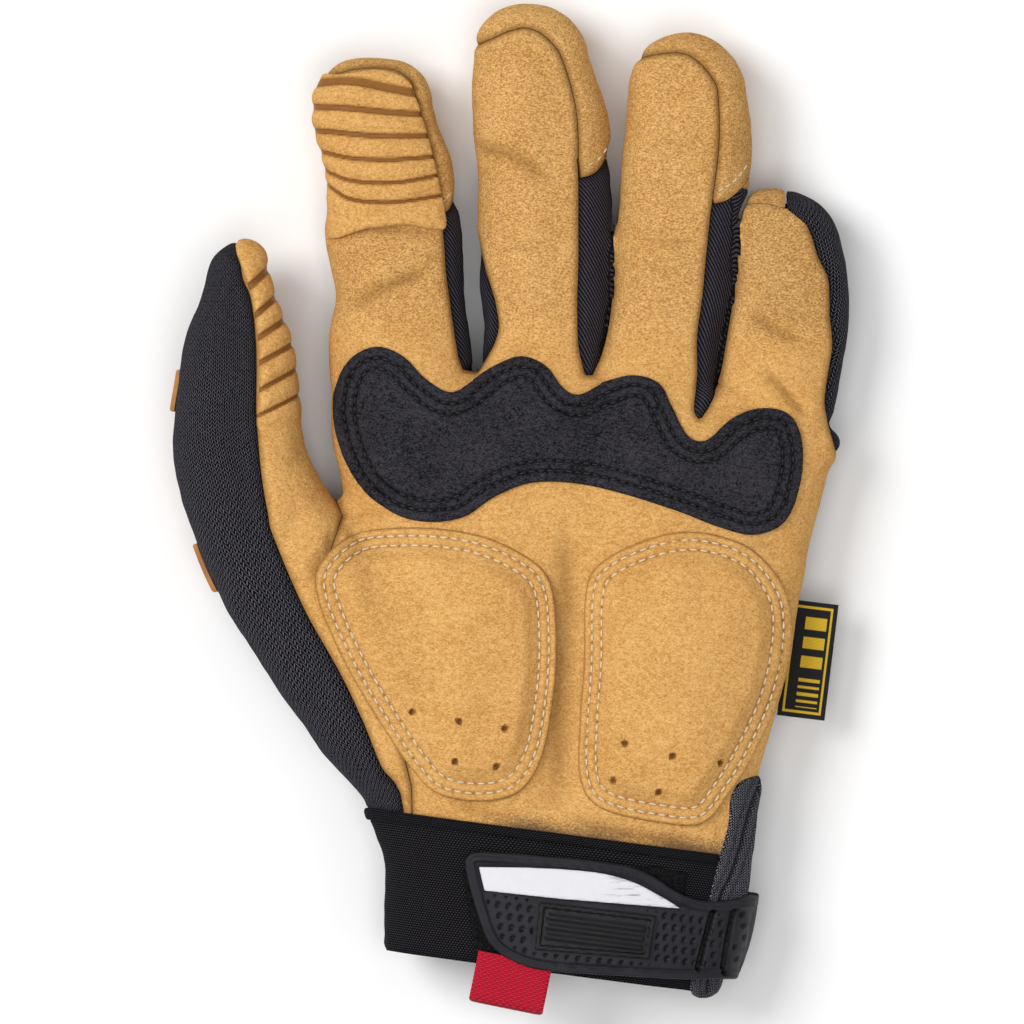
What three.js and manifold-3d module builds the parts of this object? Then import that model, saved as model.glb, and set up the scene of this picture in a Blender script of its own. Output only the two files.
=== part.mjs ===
// A left-hand mechanic's glove that lies on its back with its palm up.
// Millimetres. +X runs to the little finger, +Y to the fingertips and +Z up.
import * as THREE from "three";
import { mergeVertices } from "three/addons/utils/BufferGeometryUtils.js";
import Module from "manifold-3d";

const wasm = await Module();
wasm.setup();

// Cloth and leather
const wall = 1.5;
const gap = 0.3;
const fingerGap = 0.8;
const seamHeight = 8;

// Hand
const palmWidth = 119;
const palmLength = 103;
const palmDepth = 31;
const palmHollow = 3.2;
const indexLength = 111;
const indexWidth = 31.5;
const indexDepth = 22;
const indexLean = -7.9;
const middleLength = 124;
const middleWidth = 32;
const middleDepth = 22.5;
const middleLean = -3.1;
const ringLength = 117;
const ringWidth = 30.5;
const ringDepth = 22;
const ringLean = 7.6;
const littleLength = 89;
const littleWidth = 30;
const littleDepth = 20;
const littleLean = 8;
const thumbLength = 134;
const thumbWidth = 32;
const thumbDepth = 26;
const thumbReach = -44;

// Cuff
const cuffWidth = 87;
const cuffHeight = 33;
const cuffTilt = 7.5;
const cuffDrop = 1.5;

// Pads and patch
const padBase = 1;
const padRise = 3;
const padMargin = 5.2;
const thenarPadWidth = 57.8;
const thenarPadHeight = 65.3;
const heelPadWidth = 50.4;
const heelPadHeight = 70;
const ventHole = 1.8;
const patchWidth = 111.8;
const patchHeight = 45.4;
const patchThickness = 1.1;
const gripThickness = 1.6;
const gripGroove = 1.5;
const grooveDepth = 1.1;
const guardThickness = 1.5;
const guardTop = 16;

// Closure, tapes, tab and label
const tapeThickness = 0.9;
const tapeWidth = 2.6;
const bindingThickness = 1;
const loopThickness = 0.8;
const strapThickness = 2.4;
const strapRim = 2.4;
const strapRecess = 0.9;
const strapGroove = 1;
const stripeThickness = 0.5;
const plateRise = 1;
const webbingWidth = 18;
const webbingThickness = 1.2;
const webbingLoop = 12.4;
const labelWidth = 11.5;
const labelHeight = 28;
const labelTilt = 7;
const labelThickness = 1;

// Points in a ring round a finger, the thumb and the hand, and the share of them inside the wall
const fingerSides = 12;
const thumbSides = 12;
const handSides = 20;
const innerShare = 0.67;
const degree = Math.PI / 180;

function table(columns, ...rows) {
  return rows.map((row) => Object.fromEntries(columns.map((name, i) => [name, row[i]])));
}

// Each row is a section: where it lies, how far it leans, and its width, underside and depth,
// as shares of the sizes above. The dips in width and depth are the folds at the finger joints.
const sectionColumns = ["along", "side", "width", "base", "depth"];
const fingers = {
  index: {
    across: -0.313,
    up: 0.722,
    length: indexLength,
    width: indexWidth,
    depth: indexDepth,
    lean: indexLean,
    sides: fingerSides,
    roundness: 2.3,
    tipRoundness: 2.2,
    yieldsTo: [],
    rows: table(
      sectionColumns,
      [0, 0, 0.61, 0.3, 0.7],
      [0.09, 0, 0.84, 0.14, 1.0],
      [0.26, 0.06, 1.06, 0.1, 1.07],
      [0.42, 0.17, 1.05, 0.1, 1.02],
      [0.48, 0.17, 0.99, 0.1, 0.97],
      [0.54, 0.22, 1.01, 0.1, 1.01],
      [0.63, 0.35, 1.03, 0.13, 1.0],
      [0.68, 0.37, 0.98, 0.15, 0.92],
      [0.78, 0.54, 0.97, 0.19, 0.92],
      [0.86, 0.88, 0.94, 0.23, 0.86],
      [0.9, 0.97, 0.91, 0.26, 0.82],
    ),
    tip: { side: 1, lift: 0.03 },
  },
  middle: {
    across: -0.04,
    up: 0.722,
    length: middleLength,
    width: middleWidth,
    depth: middleDepth,
    lean: middleLean,
    sides: fingerSides,
    roundness: 2.3,
    tipRoundness: 2.1,
    yieldsTo: ["index", "ring"],
    rows: table(
      sectionColumns,
      [0, 0, 0.6, 0.3, 0.7],
      [0.08, 0, 0.82, 0.14, 1.0],
      [0.26, -0.04, 0.96, 0.1, 1.07],
      [0.37, -0.45, 0.9, 0.1, 1.02],
      [0.45, -0.45, 0.97, 0.1, 0.97],
      [0.52, -0.45, 1.01, 0.1, 1.02],
      [0.62, -0.42, 1.01, 0.12, 1.0],
      [0.68, -0.28, 0.99, 0.14, 0.93],
      [0.76, -0.15, 1.02, 0.17, 0.96],
      [0.84, 0.33, 0.95, 0.21, 0.89],
      [0.9, 0.65, 0.85, 0.25, 0.82],
    ),
    tip: { side: 1, lift: 0.03 },
  },
  ring: {
    across: 0.192,
    up: 0.722,
    length: ringLength,
    width: ringWidth,
    depth: ringDepth,
    lean: ringLean,
    sides: fingerSides,
    roundness: 2.3,
    tipRoundness: 2,
    yieldsTo: ["little"],
    rows: table(
      sectionColumns,
      [0, 0, 0.63, 0.3, 0.7],
      [0.08, 0, 0.83, 0.14, 1.0],
      [0.25, -0.04, 0.94, 0.1, 1.07],
      [0.39, 0.25, 0.93, 0.1, 1.0],
      [0.47, 0.53, 0.95, 0.1, 0.97],
      [0.56, 0.62, 1.01, 0.11, 1.02],
      [0.62, 0.76, 0.99, 0.13, 0.96],
      [0.73, 0.97, 1.02, 0.16, 0.97],
      [0.82, 1.04, 0.98, 0.2, 0.9],
      [0.87, 1.03, 0.93, 0.24, 0.84],
    ),
    tip: { side: 0.92, lift: 0.03 },
  },
  little: {
    across: 0.387,
    up: 0.629,
    length: littleLength,
    width: littleWidth,
    depth: littleDepth,
    lean: littleLean,
    sides: fingerSides,
    roundness: 2.3,
    tipRoundness: 2.1,
    yieldsTo: [],
    rows: table(
      sectionColumns,
      [0, 0, 0.56, 0.3, 0.7],
      [0.11, 0.15, 0.83, 0.14, 1.0],
      [0.38, 0.51, 1.0, 0.1, 1.06],
      [0.5, 0.8, 1.0, 0.1, 0.99],
      [0.6, 0.96, 0.99, 0.11, 1.02],
      [0.72, 1.15, 0.94, 0.14, 0.96],
      [0.8, 1.13, 0.9, 0.19, 0.9],
      [0.86, 1.1, 0.84, 0.24, 0.84],
    ),
    tip: { side: 0.78, lift: 0.03 },
  },
};
const thumb = {
  across: -0.281,
  up: 0.07,
  length: thumbLength,
  width: thumbWidth,
  depth: thumbDepth,
  lean: thumbReach,
  sides: thumbSides,
  roundness: 2.2,
  tipRoundness: 1.9,
  yieldsTo: [],
  rows: table(
    sectionColumns,
    [0, 0, 0.72, 0.25, 0.7],
    [0.07, 0.11, 1.05, 0.13, 1.0],
    [0.18, 0.29, 1.24, 0.06, 1.17],
    [0.3, 0.48, 1.37, 0.05, 1.22],
    [0.4, 0.66, 1.34, 0.07, 1.19],
    [0.48, 0.79, 1.25, 0.11, 1.14],
    [0.54, 0.9, 1.12, 0.15, 1.08],
    [0.66, 1, 0.97, 0.23, 1.02],
    [0.75, 1, 0.88, 0.29, 0.97],
    [0.84, 1, 0.76, 0.36, 0.88],
    [0.9, 1, 0.62, 0.42, 0.76],
  ),
  tip: { side: 0.975, lift: 0.02 },
};
// The hand runs from past the cuff's hem to the knuckles, where it slopes to the little finger.
const handRows = table(
  ["up", "left", "right", "base", "depth"],
  [-0.43, -0.355, 0.29, 0.11, 0.8],
  [-0.25, -0.355, 0.352, 0.11, 0.82],
  [-0.05, -0.355, 0.378, 0.1, 0.86],
  [0.035, -0.362, 0.388, 0.08, 0.89],
  [0.12, -0.39, 0.399, 0.01, 0.99],
  [0.26, -0.42, 0.432, -0.04, 1.06],
  [0.4, -0.44, 0.462, -0.05, 1.09],
  [0.54, -0.45, 0.482, -0.05, 1.07],
  [0.68, -0.442, 0.502, -0.04, 1.02],
  [0.82, -0.432, 0.522, -0.01, 0.94],
  [0.93, -0.445, 0.54, 0.03, 0.84],
  [0.99, -0.435, 0.4, 0.05, 0.79],
);
const handTop = { up: 1.065, left: -0.3, right: 0.2 };
const handRoundness = 2.6;
const capRings = [0.45, 0.77, 0.94];

// Geometry helpers

function solidOf(geometry) {
  geometry.deleteAttribute("normal");
  geometry.deleteAttribute("uv");
  const merged = mergeVertices(geometry, 1e-4);
  return new wasm.Manifold(
    new wasm.Mesh({
      numProp: 3,
      vertProperties: merged.attributes.position.array,
      triVerts: new Uint32Array(merged.index.array),
    }),
  );
}

function meshGeometry(solid) {
  const mesh = solid.getMesh();
  return new THREE.BufferGeometry()
    .setAttribute("position", new THREE.BufferAttribute(mesh.vertProperties, 3))
    .setIndex(new THREE.BufferAttribute(mesh.triVerts, 1));
}

// Skins the rings in order. The first ring is closed flat and the last one runs to the pole.
function loft(rings, pole) {
  const sides = rings[0].length;
  const points = rings.flat();
  const middle = new THREE.Vector3();
  rings[0].forEach((point) => middle.addScaledVector(point, 1 / sides));
  points.push(middle, pole);
  const triangles = [];
  for (let j = 0; j < sides; j += 1) {
    const next = (j + 1) % sides;
    triangles.push(points.length - 2, j, next);
    for (let i = 0; i + 1 < rings.length; i += 1) {
      const low = i * sides;
      const high = low + sides;
      triangles.push(low + j, high + j, low + next);
      triangles.push(low + next, high + j, high + next);
    }
    const last = (rings.length - 1) * sides;
    triangles.push(last + j, points.length - 1, last + next);
  }
  const geometry = new THREE.BufferGeometry().setFromPoints(points);
  geometry.setIndex(triangles);
  return solidOf(geometry);
}

function sidesFor(outerSides, grow) {
  return grow < 0 ? Math.round(outerSides * innerShare) : outerSides;
}

// A closed curve of superellipse form round a centre, in a plane across +Y.
function sectionRing(section, y, sides, roundness) {
  return Array.from({ length: sides }, (_, j) => {
    const angle = (2 * Math.PI * (j + 0.5)) / sides;
    const c = Math.cos(angle);
    const s = Math.sin(angle);
    const reach = (Math.abs(c) ** roundness + Math.abs(s) ** roundness) ** (-1 / roundness);
    return new THREE.Vector3(
      section.x + section.halfWidth * c * reach,
      y,
      section.z + section.halfDepth * s * reach,
    );
  });
}

function mix(a, b, share) {
  return a + (b - a) * share;
}

// Fingers and thumb

function rootOf(finger) {
  return { x: finger.across * palmWidth, y: finger.up * palmLength };
}

function fingerSection(finger, row, grow) {
  return {
    x: rootOf(finger).x + row.side * finger.lean,
    z: finger.depth * (row.base + row.depth / 2),
    halfWidth: (finger.width * row.width) / 2 + grow,
    halfDepth: (finger.depth * row.depth) / 2 + grow,
  };
}

function fingerTube(finger, grow) {
  const root = rootOf(finger);
  const sides = sidesFor(finger.sides, grow);
  const rings = finger.rows.map((row) => {
    const section = fingerSection(finger, row, grow);
    return sectionRing(section, root.y + row.along * finger.length, sides, finger.roundness);
  });
  const last = finger.rows.at(-1);
  const from = fingerSection(finger, last, grow);
  const to = {
    x: root.x + finger.tip.side * finger.lean,
    y: root.y + finger.length + grow,
    z: from.z + finger.tip.lift * finger.depth,
  };
  const lastY = root.y + last.along * finger.length;
  capRings.forEach((share) => {
    const shrink = (1 - share ** finger.tipRoundness) ** (1 / finger.tipRoundness);
    const section = {
      x: mix(from.x, to.x, share),
      z: mix(from.z, to.z, share),
      halfWidth: from.halfWidth * shrink,
      halfDepth: from.halfDepth * shrink,
    };
    rings.push(sectionRing(section, mix(lastY, to.y, share), sides, finger.roundness));
  });
  return loft(rings, new THREE.Vector3(to.x, to.y, to.z));
}

// Where two fingers press together, one of them gives way and stays fingerGap clear of the other.
function fingerSolid(finger, grow) {
  return finger.yieldsTo.reduce(
    (solid, name) => solid.subtract(fingerTube(fingers[name], fingerGap - grow)),
    fingerTube(finger, grow),
  );
}

// Plan point at a share of a finger's length and a share of its width, from its centre line.
function onFinger(finger, along, across) {
  const rows = finger.rows;
  const after = rows.findIndex((row) => row.along > along);
  const high = after < 0 ? rows.at(-1) : rows[Math.max(after, 1)];
  const low = after < 0 ? rows.at(-1) : rows[Math.max(after, 1) - 1];
  const share = after < 0 ? 0 : (along - low.along) / (high.along - low.along);
  const root = rootOf(finger);
  const width = finger.width * mix(low.width, high.width, share);
  return new THREE.Vector2(
    root.x + finger.lean * mix(low.side, high.side, share) + across * width,
    root.y + along * finger.length,
  );
}

function seamOn(finger, ...shares) {
  return shares.map(([along, across]) => onFinger(finger, along, across));
}

// Hand

function handSection(row, grow) {
  return {
    x: (palmWidth * (row.left + row.right)) / 2,
    z: palmDepth * (row.base + row.depth / 2),
    halfWidth: (palmWidth * (row.right - row.left)) / 2 + grow,
    halfDepth: (palmDepth * row.depth) / 2 + grow,
  };
}

// The palm dips between its two pads.
function hollowAt(x, y) {
  const sideways = (x - palmWidth * 0.03) / (palmWidth * 0.12);
  const lengthways = (y - palmLength * 0.36) / (palmLength * 0.34);
  return palmHollow * Math.exp(-(sideways ** 2) - lengthways ** 4);
}

function handTube(grow, runOut) {
  const first = handRows[0];
  const sides = sidesFor(handSides, grow);
  const rings = handRows.map((row) => {
    const section = handSection(row, grow);
    const y = palmLength * row.up - (row === first ? runOut : 0);
    const ring = sectionRing(section, y, sides, handRoundness);
    ring.filter((point) => point.z > section.z).forEach((point) => {
      point.z -= hollowAt(point.x, point.y);
    });
    return ring;
  });
  const last = handRows.at(-1);
  const from = handSection(last, grow);
  const lastY = palmLength * last.up;
  const topY = palmLength * handTop.up + grow;
  const topX = (palmWidth * (handTop.left + handTop.right)) / 2;
  capRings.forEach((share) => {
    const shrink = Math.sqrt(1 - share ** 2);
    const section = {
      x: mix(from.x, topX, share),
      z: from.z,
      halfWidth: from.halfWidth * Math.sqrt(shrink),
      halfDepth: from.halfDepth * shrink,
    };
    rings.push(sectionRing(section, mix(lastY, topY, share), sides, handRoundness));
  });
  return loft(rings, new THREE.Vector3(topX, topY, from.z));
}

const far = 4 * palmWidth;

function block(low, high) {
  const box = new THREE.BoxGeometry(high.x - low.x, high.y - low.y, high.z - low.z);
  box.translate((high.x + low.x) / 2, (high.y + low.y) / 2, (high.z + low.z) / 2);
  return solidOf(box);
}

function slab(bottom, top) {
  return block(new THREE.Vector3(-far, -far, bottom), new THREE.Vector3(far, far, top));
}

// The whole hand grown or shrunk by an offset, and flattened where it rests.
const grownHands = new Map();
function hand(grow) {
  if (!grownHands.has(grow)) {
    const runOut = grow < 0 ? 2 * wall : 0;
    const parts = [handTube(grow, runOut), fingerTube(thumb, grow)];
    Object.values(fingers).forEach((finger) => parts.push(fingerSolid(finger, grow)));
    const whole = parts.reduce((sum, part) => sum.add(part));
    grownHands.set(grow, whole.intersect(slab(Math.max(0, -grow), far)));
  }
  return grownHands.get(grow);
}

// Outlines in plan

function prism(outline, bottom = -far, top = far) {
  const shape = new THREE.Shape(outline);
  const geometry = new THREE.ExtrudeGeometry(shape, {
    depth: top - bottom,
    bevelEnabled: false,
  });
  geometry.translate(0, 0, bottom);
  return solidOf(geometry);
}

function rounded(points, perPoint = 2) {
  const curve = new THREE.CatmullRomCurve3(
    points.map((point) => new THREE.Vector3(point.x, point.y, 0)),
    true,
    "centripetal",
  );
  const along = curve.getPoints(points.length * perPoint).slice(0, -1);
  return along.map((point) => new THREE.Vector2(point.x, point.y));
}

// Moves each point of a closed outline outwards by a distance, or inwards by a negative one.
function offset(outline, distance) {
  const turn = THREE.ShapeUtils.isClockWise(outline) ? -1 : 1;
  return outline.map((point, i) => {
    const before = outline[(i + outline.length - 1) % outline.length];
    const after = outline[(i + 1) % outline.length];
    const inwards = new THREE.Vector2().subVectors(point, before).normalize();
    const onwards = new THREE.Vector2().subVectors(after, point).normalize();
    const along = new THREE.Vector2().addVectors(inwards, onwards).normalize();
    const miter = Math.min(2, 1 / Math.max(0.5, along.dot(onwards)));
    return new THREE.Vector2(
      point.x + along.y * turn * distance * miter,
      point.y - along.x * turn * distance * miter,
    );
  });
}

function outlineIn(width, height, centre, ...shares) {
  return shares.map(
    ([x, y]) => new THREE.Vector2(centre.x + x * width, centre.y + y * height),
  );
}

function palmPoint(across, up) {
  return new THREE.Vector2(across * palmWidth, up * palmLength);
}

const cuffCentre = palmWidth * 0.008;
const tiltSlope = Math.tan(cuffTilt * degree);
function cuffPoint(across, down) {
  const x = cuffCentre + across * cuffWidth;
  return new THREE.Vector2(x, -cuffDrop - tiltSlope * x - down * cuffHeight);
}

// A sheet that follows the hand's surface between two offsets, inside an outline.
function sheet(outline, from, to, bottom = -far, top = far) {
  return hand(to).intersect(prism(outline, bottom, top)).subtract(hand(from));
}

// Cuts leave crumbs, so a piece is its largest body.
function mainBody(solid) {
  return solid.decompose().reduce((best, body) => (body.volume() > best.volume() ? body : best));
}

// The sewn shell, cut into its panels

const left = -2 * palmWidth;
const right = 2 * palmWidth;
const wide = far / 2;
let shell = hand(0).subtract(hand(-wall));
shell = shell.subtract(
  prism([cuffPoint(-2, 1), cuffPoint(-2, 9), cuffPoint(2, 9), cuffPoint(2, 1)]),
);

// Takes what lies in the zone, and leaves the seam gap round it.
function takePanel(zone, grownZone) {
  const panel = shell.intersect(zone);
  shell = shell.subtract(grownZone);
  return mainBody(panel);
}

function zoneOf(outline, bottom, top) {
  return {
    zone: prism(outline, bottom, top),
    grown: prism(offset(outline, gap), bottom - gap, top + gap),
  };
}

function takeZones(...zones) {
  return takePanel(
    zones.map((each) => each.zone).reduce((sum, each) => sum.add(each)),
    zones.map((each) => each.grown).reduce((sum, each) => sum.add(each)),
  );
}

// The same zone with nothing of the fingers beside it.
function onlyOn(finger, each) {
  const own = fingerTube(finger, fingerGap / 2);
  return { zone: each.zone.intersect(own), grown: each.grown.intersect(own) };
}

const cuffOutline = [cuffPoint(-2, 0), cuffPoint(-2, 9), cuffPoint(2, 9), cuffPoint(2, 0)];
const cuffBand = takeZones(zoneOf(cuffOutline, -wide, wide));

// A tip cap wraps the fingertip behind an arched seam, and ends in a slanting hem on its side.
function tipCap(finger, arch, hem) {
  const seam = seamOn(finger, ...arch);
  const top = [
    ...seam,
    onFinger(finger, hem, 0.9),
    onFinger(finger, 1.3, 0.9),
    onFinger(finger, 1.3, -0.9),
    onFinger(finger, arch[0][0], -0.9),
  ];
  const back = [
    onFinger(finger, hem, -0.9),
    onFinger(finger, hem, 0.9),
    onFinger(finger, 1.3, 0.9),
    onFinger(finger, 1.3, -0.9),
  ];
  return takeZones(
    onlyOn(finger, zoneOf(top, seamHeight, wide)),
    onlyOn(finger, zoneOf(back, -wide, seamHeight)),
  );
}

const indexArch = [
  [0.955, -0.5],
  [0.975, -0.2],
  [0.98, 0.1],
  [0.945, 0.31],
  [0.89, 0.37],
  [0.79, 0.34],
  [0.66, 0.38],
];
const middleArch = [
  [0.92, -0.5],
  [0.95, -0.16],
  [0.95, 0],
  [0.93, 0.15],
  [0.89, 0.27],
  [0.8, 0.28],
  [0.67, 0.27],
];
const ringArch = [
  [0.945, -0.5],
  [0.96, -0.15],
  [0.95, 0.04],
  [0.91, 0.2],
  [0.87, 0.26],
  [0.76, 0.25],
  [0.635, 0.25],
];
const indexCap = tipCap(fingers.index, indexArch, 0.695);
const middleCap = tipCap(fingers.middle, middleArch, 0.715);
const ringCap = tipCap(fingers.ring, ringArch, 0.685);
const littleArch = [
  [0.955, -0.6],
  [0.96, -0.2],
  [0.955, 0.04],
];
const littleTop = [...seamOn(fingers.little, ...littleArch, [1.3, 0.06], [1.3, -0.6])];
const littleCap = takeZones(onlyOn(fingers.little, zoneOf(littleTop, seamHeight, wide)));

// The thumb's front is leather and its back is knit, with a seam round its root.
const besideIndex = seamOn(fingers.index, [1.3, -0.62], [0.54, -0.62], [0.26, -0.62]);
const thumbRoot = [
  ...besideIndex,
  palmPoint(-0.46, 0.8),
  palmPoint(-0.436, 0.735),
  palmPoint(-0.456, 0.66),
  palmPoint(-0.456, 0.56),
  palmPoint(-0.424, 0.443),
  palmPoint(-0.373, 0.326),
  palmPoint(-0.323, 0.221),
  palmPoint(-0.3, 0.1),
  palmPoint(-0.296, -0.3),
];
const thumbFrontSeam = [
  palmPoint(-0.316, -0.3),
  palmPoint(-0.318, 0.05),
  ...seamOn(
    thumb,
    [0.06, -0.17],
    [0.15, -0.1],
    [0.23, -0.08],
    [0.34, -0.08],
    [0.47, -0.03],
    [0.51, 0.02],
    [0.59, 0.12],
    [0.69, 0.17],
    [0.82, 0.19],
    [0.9, 0.2],
    [0.95, 0.08],
    [1.1, 0],
  ),
];
const thumbFrontOutline = [...thumbFrontSeam, ...thumbRoot];
const thumbOutline = [palmPoint(-1, -0.3), onFinger(thumb, 1.3, -1.5), ...thumbRoot];
const thumbFront = takeZones(zoneOf(thumbFrontOutline, seamHeight, wide));
const thumbBack = takeZones(zoneOf(thumbOutline, -wide, wide));

// The part of a finger's side between a seam on it and a line outside it.
const outside = 0.75;
function sideZone(finger, seam, side) {
  const beyond = [
    [seam.at(-1)[0], side * outside],
    [seam[0][0], side * outside],
  ];
  return onlyOn(finger, zoneOf(seamOn(finger, ...seam, ...beyond), seamHeight, wide));
}

// A side strip runs down one finger, round the fork and up the next one.
function sideStrip(finger, seam, nextFinger, nextSeam) {
  const down = seamOn(finger, ...seam);
  const up = seamOn(nextFinger, ...nextSeam);
  const above = down.at(-2).clone().add(up[1]).multiplyScalar(0.5);
  return takeZones(
    sideZone(finger, seam, 1),
    sideZone(nextFinger, nextSeam, -1),
    zoneOf([down.at(-1), up[0], above], seamHeight, wide),
  );
}

const indexSideStrip = sideStrip(
  fingers.index,
  [
    [0.64, 0.37],
    [0.54, 0.38],
    [0.46, 0.39],
    [0.36, 0.39],
  ],
  fingers.middle,
  [
    [0.285, -0.55],
    [0.32, -0.47],
    [0.37, -0.41],
    [0.43, -0.42],
    [0.48, -0.47],
    [0.55, -0.51],
  ],
);
const middleSideStrip = sideStrip(
  fingers.middle,
  [
    [0.65, 0.26],
    [0.51, 0.25],
    [0.41, 0.26],
    [0.34, 0.29],
  ],
  fingers.ring,
  [
    [0.3, -0.52],
    [0.34, -0.47],
    [0.44, -0.46],
    [0.52, -0.475],
    [0.57, -0.51],
  ],
);
const ringSideStrip = sideStrip(
  fingers.ring,
  [
    [0.62, 0.25],
    [0.54, 0.26],
    [0.46, 0.27],
    [0.38, 0.31],
    [0.3, 0.36],
    [0.23, 0.35],
  ],
  fingers.little,
  [
    [0.4, -0.52],
    [0.45, -0.475],
    [0.6, -0.475],
    [0.78, -0.47],
    [0.84, -0.51],
  ],
);

// The knit back also shows along the outside of the little finger.
const outerSeam = seamOn(
  fingers.little,
  [0.33, 0.51],
  [0.38, 0.47],
  [0.44, 0.41],
  [0.59, 0.39],
  [0.74, 0.34],
  [0.87, 0.2],
  [0.94, 0.06],
);
const outerSide = zoneOf(
  [...outerSeam, onFinger(fingers.little, 1.3, 0.06), onFinger(fingers.little, 1.3, 2),
    onFinger(fingers.little, 0.33, 2)],
  seamHeight - gap,
  wide,
);
const backSlab = { zone: slab(-wide, seamHeight), grown: slab(-wide, seamHeight + gap) };
const backPanel = takeZones(backSlab, outerSide);
const palmPanel = mainBody(shell);

// Pads, patch and grips, laid on the shell

function drill(solid, holes) {
  const radius = ventHole / 2;
  return holes.reduce((sum, hole) => {
    const pin = new THREE.CylinderGeometry(radius, radius, far, 8);
    pin.rotateX(Math.PI / 2);
    pin.translate(hole.x, hole.y, 0);
    return sum.subtract(solidOf(pin));
  }, solid);
}

function paddedPad(outline, holes) {
  const rim = sheet(outline, gap, gap + padBase, seamHeight + gap, wide);
  const cushion = sheet(offset(outline, -padMargin), gap, gap + padRise, seamHeight + gap, wide);
  return mainBody(drill(rim.add(cushion), holes));
}

const thenarCentre = palmPoint(-0.251, 0.386);
const thenarOutline = rounded(
  outlineIn(
    thenarPadWidth,
    thenarPadHeight,
    thenarCentre,
    [-0.342, 0.474],
    [-0.12, 0.502],
    [0.15, 0.48],
    [0.36, 0.405],
    [0.475, 0.3],
    [0.502, 0.08],
    [0.485, -0.14],
    [0.44, -0.34],
    [0.346, -0.465],
    [0.19, -0.5],
    [0.01, -0.47],
    [-0.11, -0.364],
    [-0.276, -0.147],
    [-0.413, 0.077],
    [-0.495, 0.27],
    [-0.47, 0.38],
  ),
);
const thenarHoles = outlineIn(
  thenarPadWidth,
  thenarPadHeight,
  thenarCentre,
  [-0.1, -0.173],
  [0.1, -0.206],
  [0.284, -0.232],
  [0.081, -0.353],
  [0.251, -0.371],
);
const thenarPad = paddedPad(thenarOutline, thenarHoles);

const heelCentre = palmPoint(0.248, 0.352);
const heelOutline = rounded(
  outlineIn(
    heelPadWidth,
    heelPadHeight,
    heelCentre,
    [0.08, 0.502],
    [-0.148, 0.483],
    [-0.38, 0.405],
    [-0.462, 0.305],
    [-0.472, 0.055],
    [-0.493, -0.154],
    [-0.49, -0.345],
    [-0.39, -0.442],
    [-0.119, -0.49],
    [0.09, -0.492],
    [0.219, -0.384],
    [0.329, -0.247],
    [0.443, -0.058],
    [0.5, 0.161],
    [0.468, 0.315],
    [0.319, 0.445],
  ),
);
const heelHoles = outlineIn(
  heelPadWidth,
  heelPadHeight,
  heelCentre,
  [-0.271, -0.219],
  [-0.057, -0.26],
  [0.167, -0.284],
  [-0.329, -0.346],
  [-0.119, -0.384],
);
const heelPad = paddedPad(heelOutline, heelHoles);

// Four lobes below the fingers and a waist across the palm.
const patchOutline = rounded(
  outlineIn(
    patchWidth,
    patchHeight,
    palmPoint(0.018, 0.908),
    [-0.497, 0.25],
    [-0.47, 0.42],
    [-0.412, 0.492],
    [-0.355, 0.44],
    [-0.31, 0.325],
    [-0.255, 0.246],
    [-0.2, 0.31],
    [-0.15, 0.4],
    [-0.1, 0.442],
    [-0.05, 0.39],
    [-0.015, 0.275],
    [0.02, 0.236],
    [0.075, 0.294],
    [0.137, 0.341],
    [0.191, 0.299],
    [0.222, 0.161],
    [0.253, 0.022],
    [0.294, -0.003],
    [0.35, 0.11],
    [0.42, 0.167],
    [0.477, 0.12],
    [0.5, -0.06],
    [0.488, -0.28],
    [0.455, -0.44],
    [0.395, -0.5],
    [0.325, -0.462],
    [0.23, -0.373],
    [0.122, -0.288],
    [0.02, -0.23],
    [-0.08, -0.225],
    [-0.16, -0.3],
    [-0.225, -0.405],
    [-0.3, -0.432],
    [-0.375, -0.385],
    [-0.452, -0.22],
    [-0.492, 0.03],
  ),
  1,
);
const knucklePatch = mainBody(
  sheet(patchOutline, gap, gap + patchThickness, seamHeight + gap, wide),
);

// A grip pad is a thicker leather skin with grooves pressed across it.
function gripPad(finger, outline, grooves) {
  const skin = sheet(outline, gap, gap + gripThickness, seamHeight + gap, wide);
  const bars = grooves.map(([leftAlong, rightAlong, leftAcross, rightAcross]) => {
    const from = onFinger(finger, leftAlong, leftAcross);
    const to = onFinger(finger, rightAlong, rightAcross);
    const up = new THREE.Vector2(0, gripGroove / 2);
    return prism([from.clone().sub(up), to.clone().sub(up), to.clone().add(up), from.clone().add(up)]);
  });
  const cutter = bars.reduce((sum, bar) => sum.add(bar));
  return mainBody(skin.subtract(cutter.subtract(hand(gap + gripThickness - grooveDepth))));
}

const indexGrip = gripPad(
  fingers.index,
  seamOn(
    fingers.index,
    [0.63, -0.6],
    [0.635, -0.2],
    [0.645, 0.1],
    [0.64, 0.3],
    [0.66, 0.345],
    [0.79, 0.305],
    [0.885, 0.335],
    [0.935, 0.27],
    [0.96, 0.08],
    [0.955, -0.2],
    [0.93, -0.6],
  ),
  [
    [0.945, 0.925, -0.6, 0.4],
    [0.89, 0.873, -0.7, 0.4],
    [0.843, 0.825, -0.7, 0.4],
    [0.802, 0.777, -0.7, 0.4],
    [0.755, 0.736, -0.5, 0.4],
    [0.7, 0.7, -0.3, 0.42],
  ],
);
const thumbGrip = gripPad(
  thumb,
  seamOn(
    thumb,
    [0.68, 0.2],
    [0.72, 0.6],
    [0.85, 0.9],
    [0.99, 0.9],
    [0.99, 0.07],
    [0.95, 0.12],
    [0.9, 0.25],
    [0.82, 0.235],
  ),
  [
    [0.915, 0.955, 0.1, 0.7],
    [0.87, 0.92, 0.1, 0.7],
    [0.825, 0.885, 0.1, 0.9],
    [0.775, 0.845, 0.1, 0.9],
    [0.73, 0.795, 0.1, 0.9],
  ],
);

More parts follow.
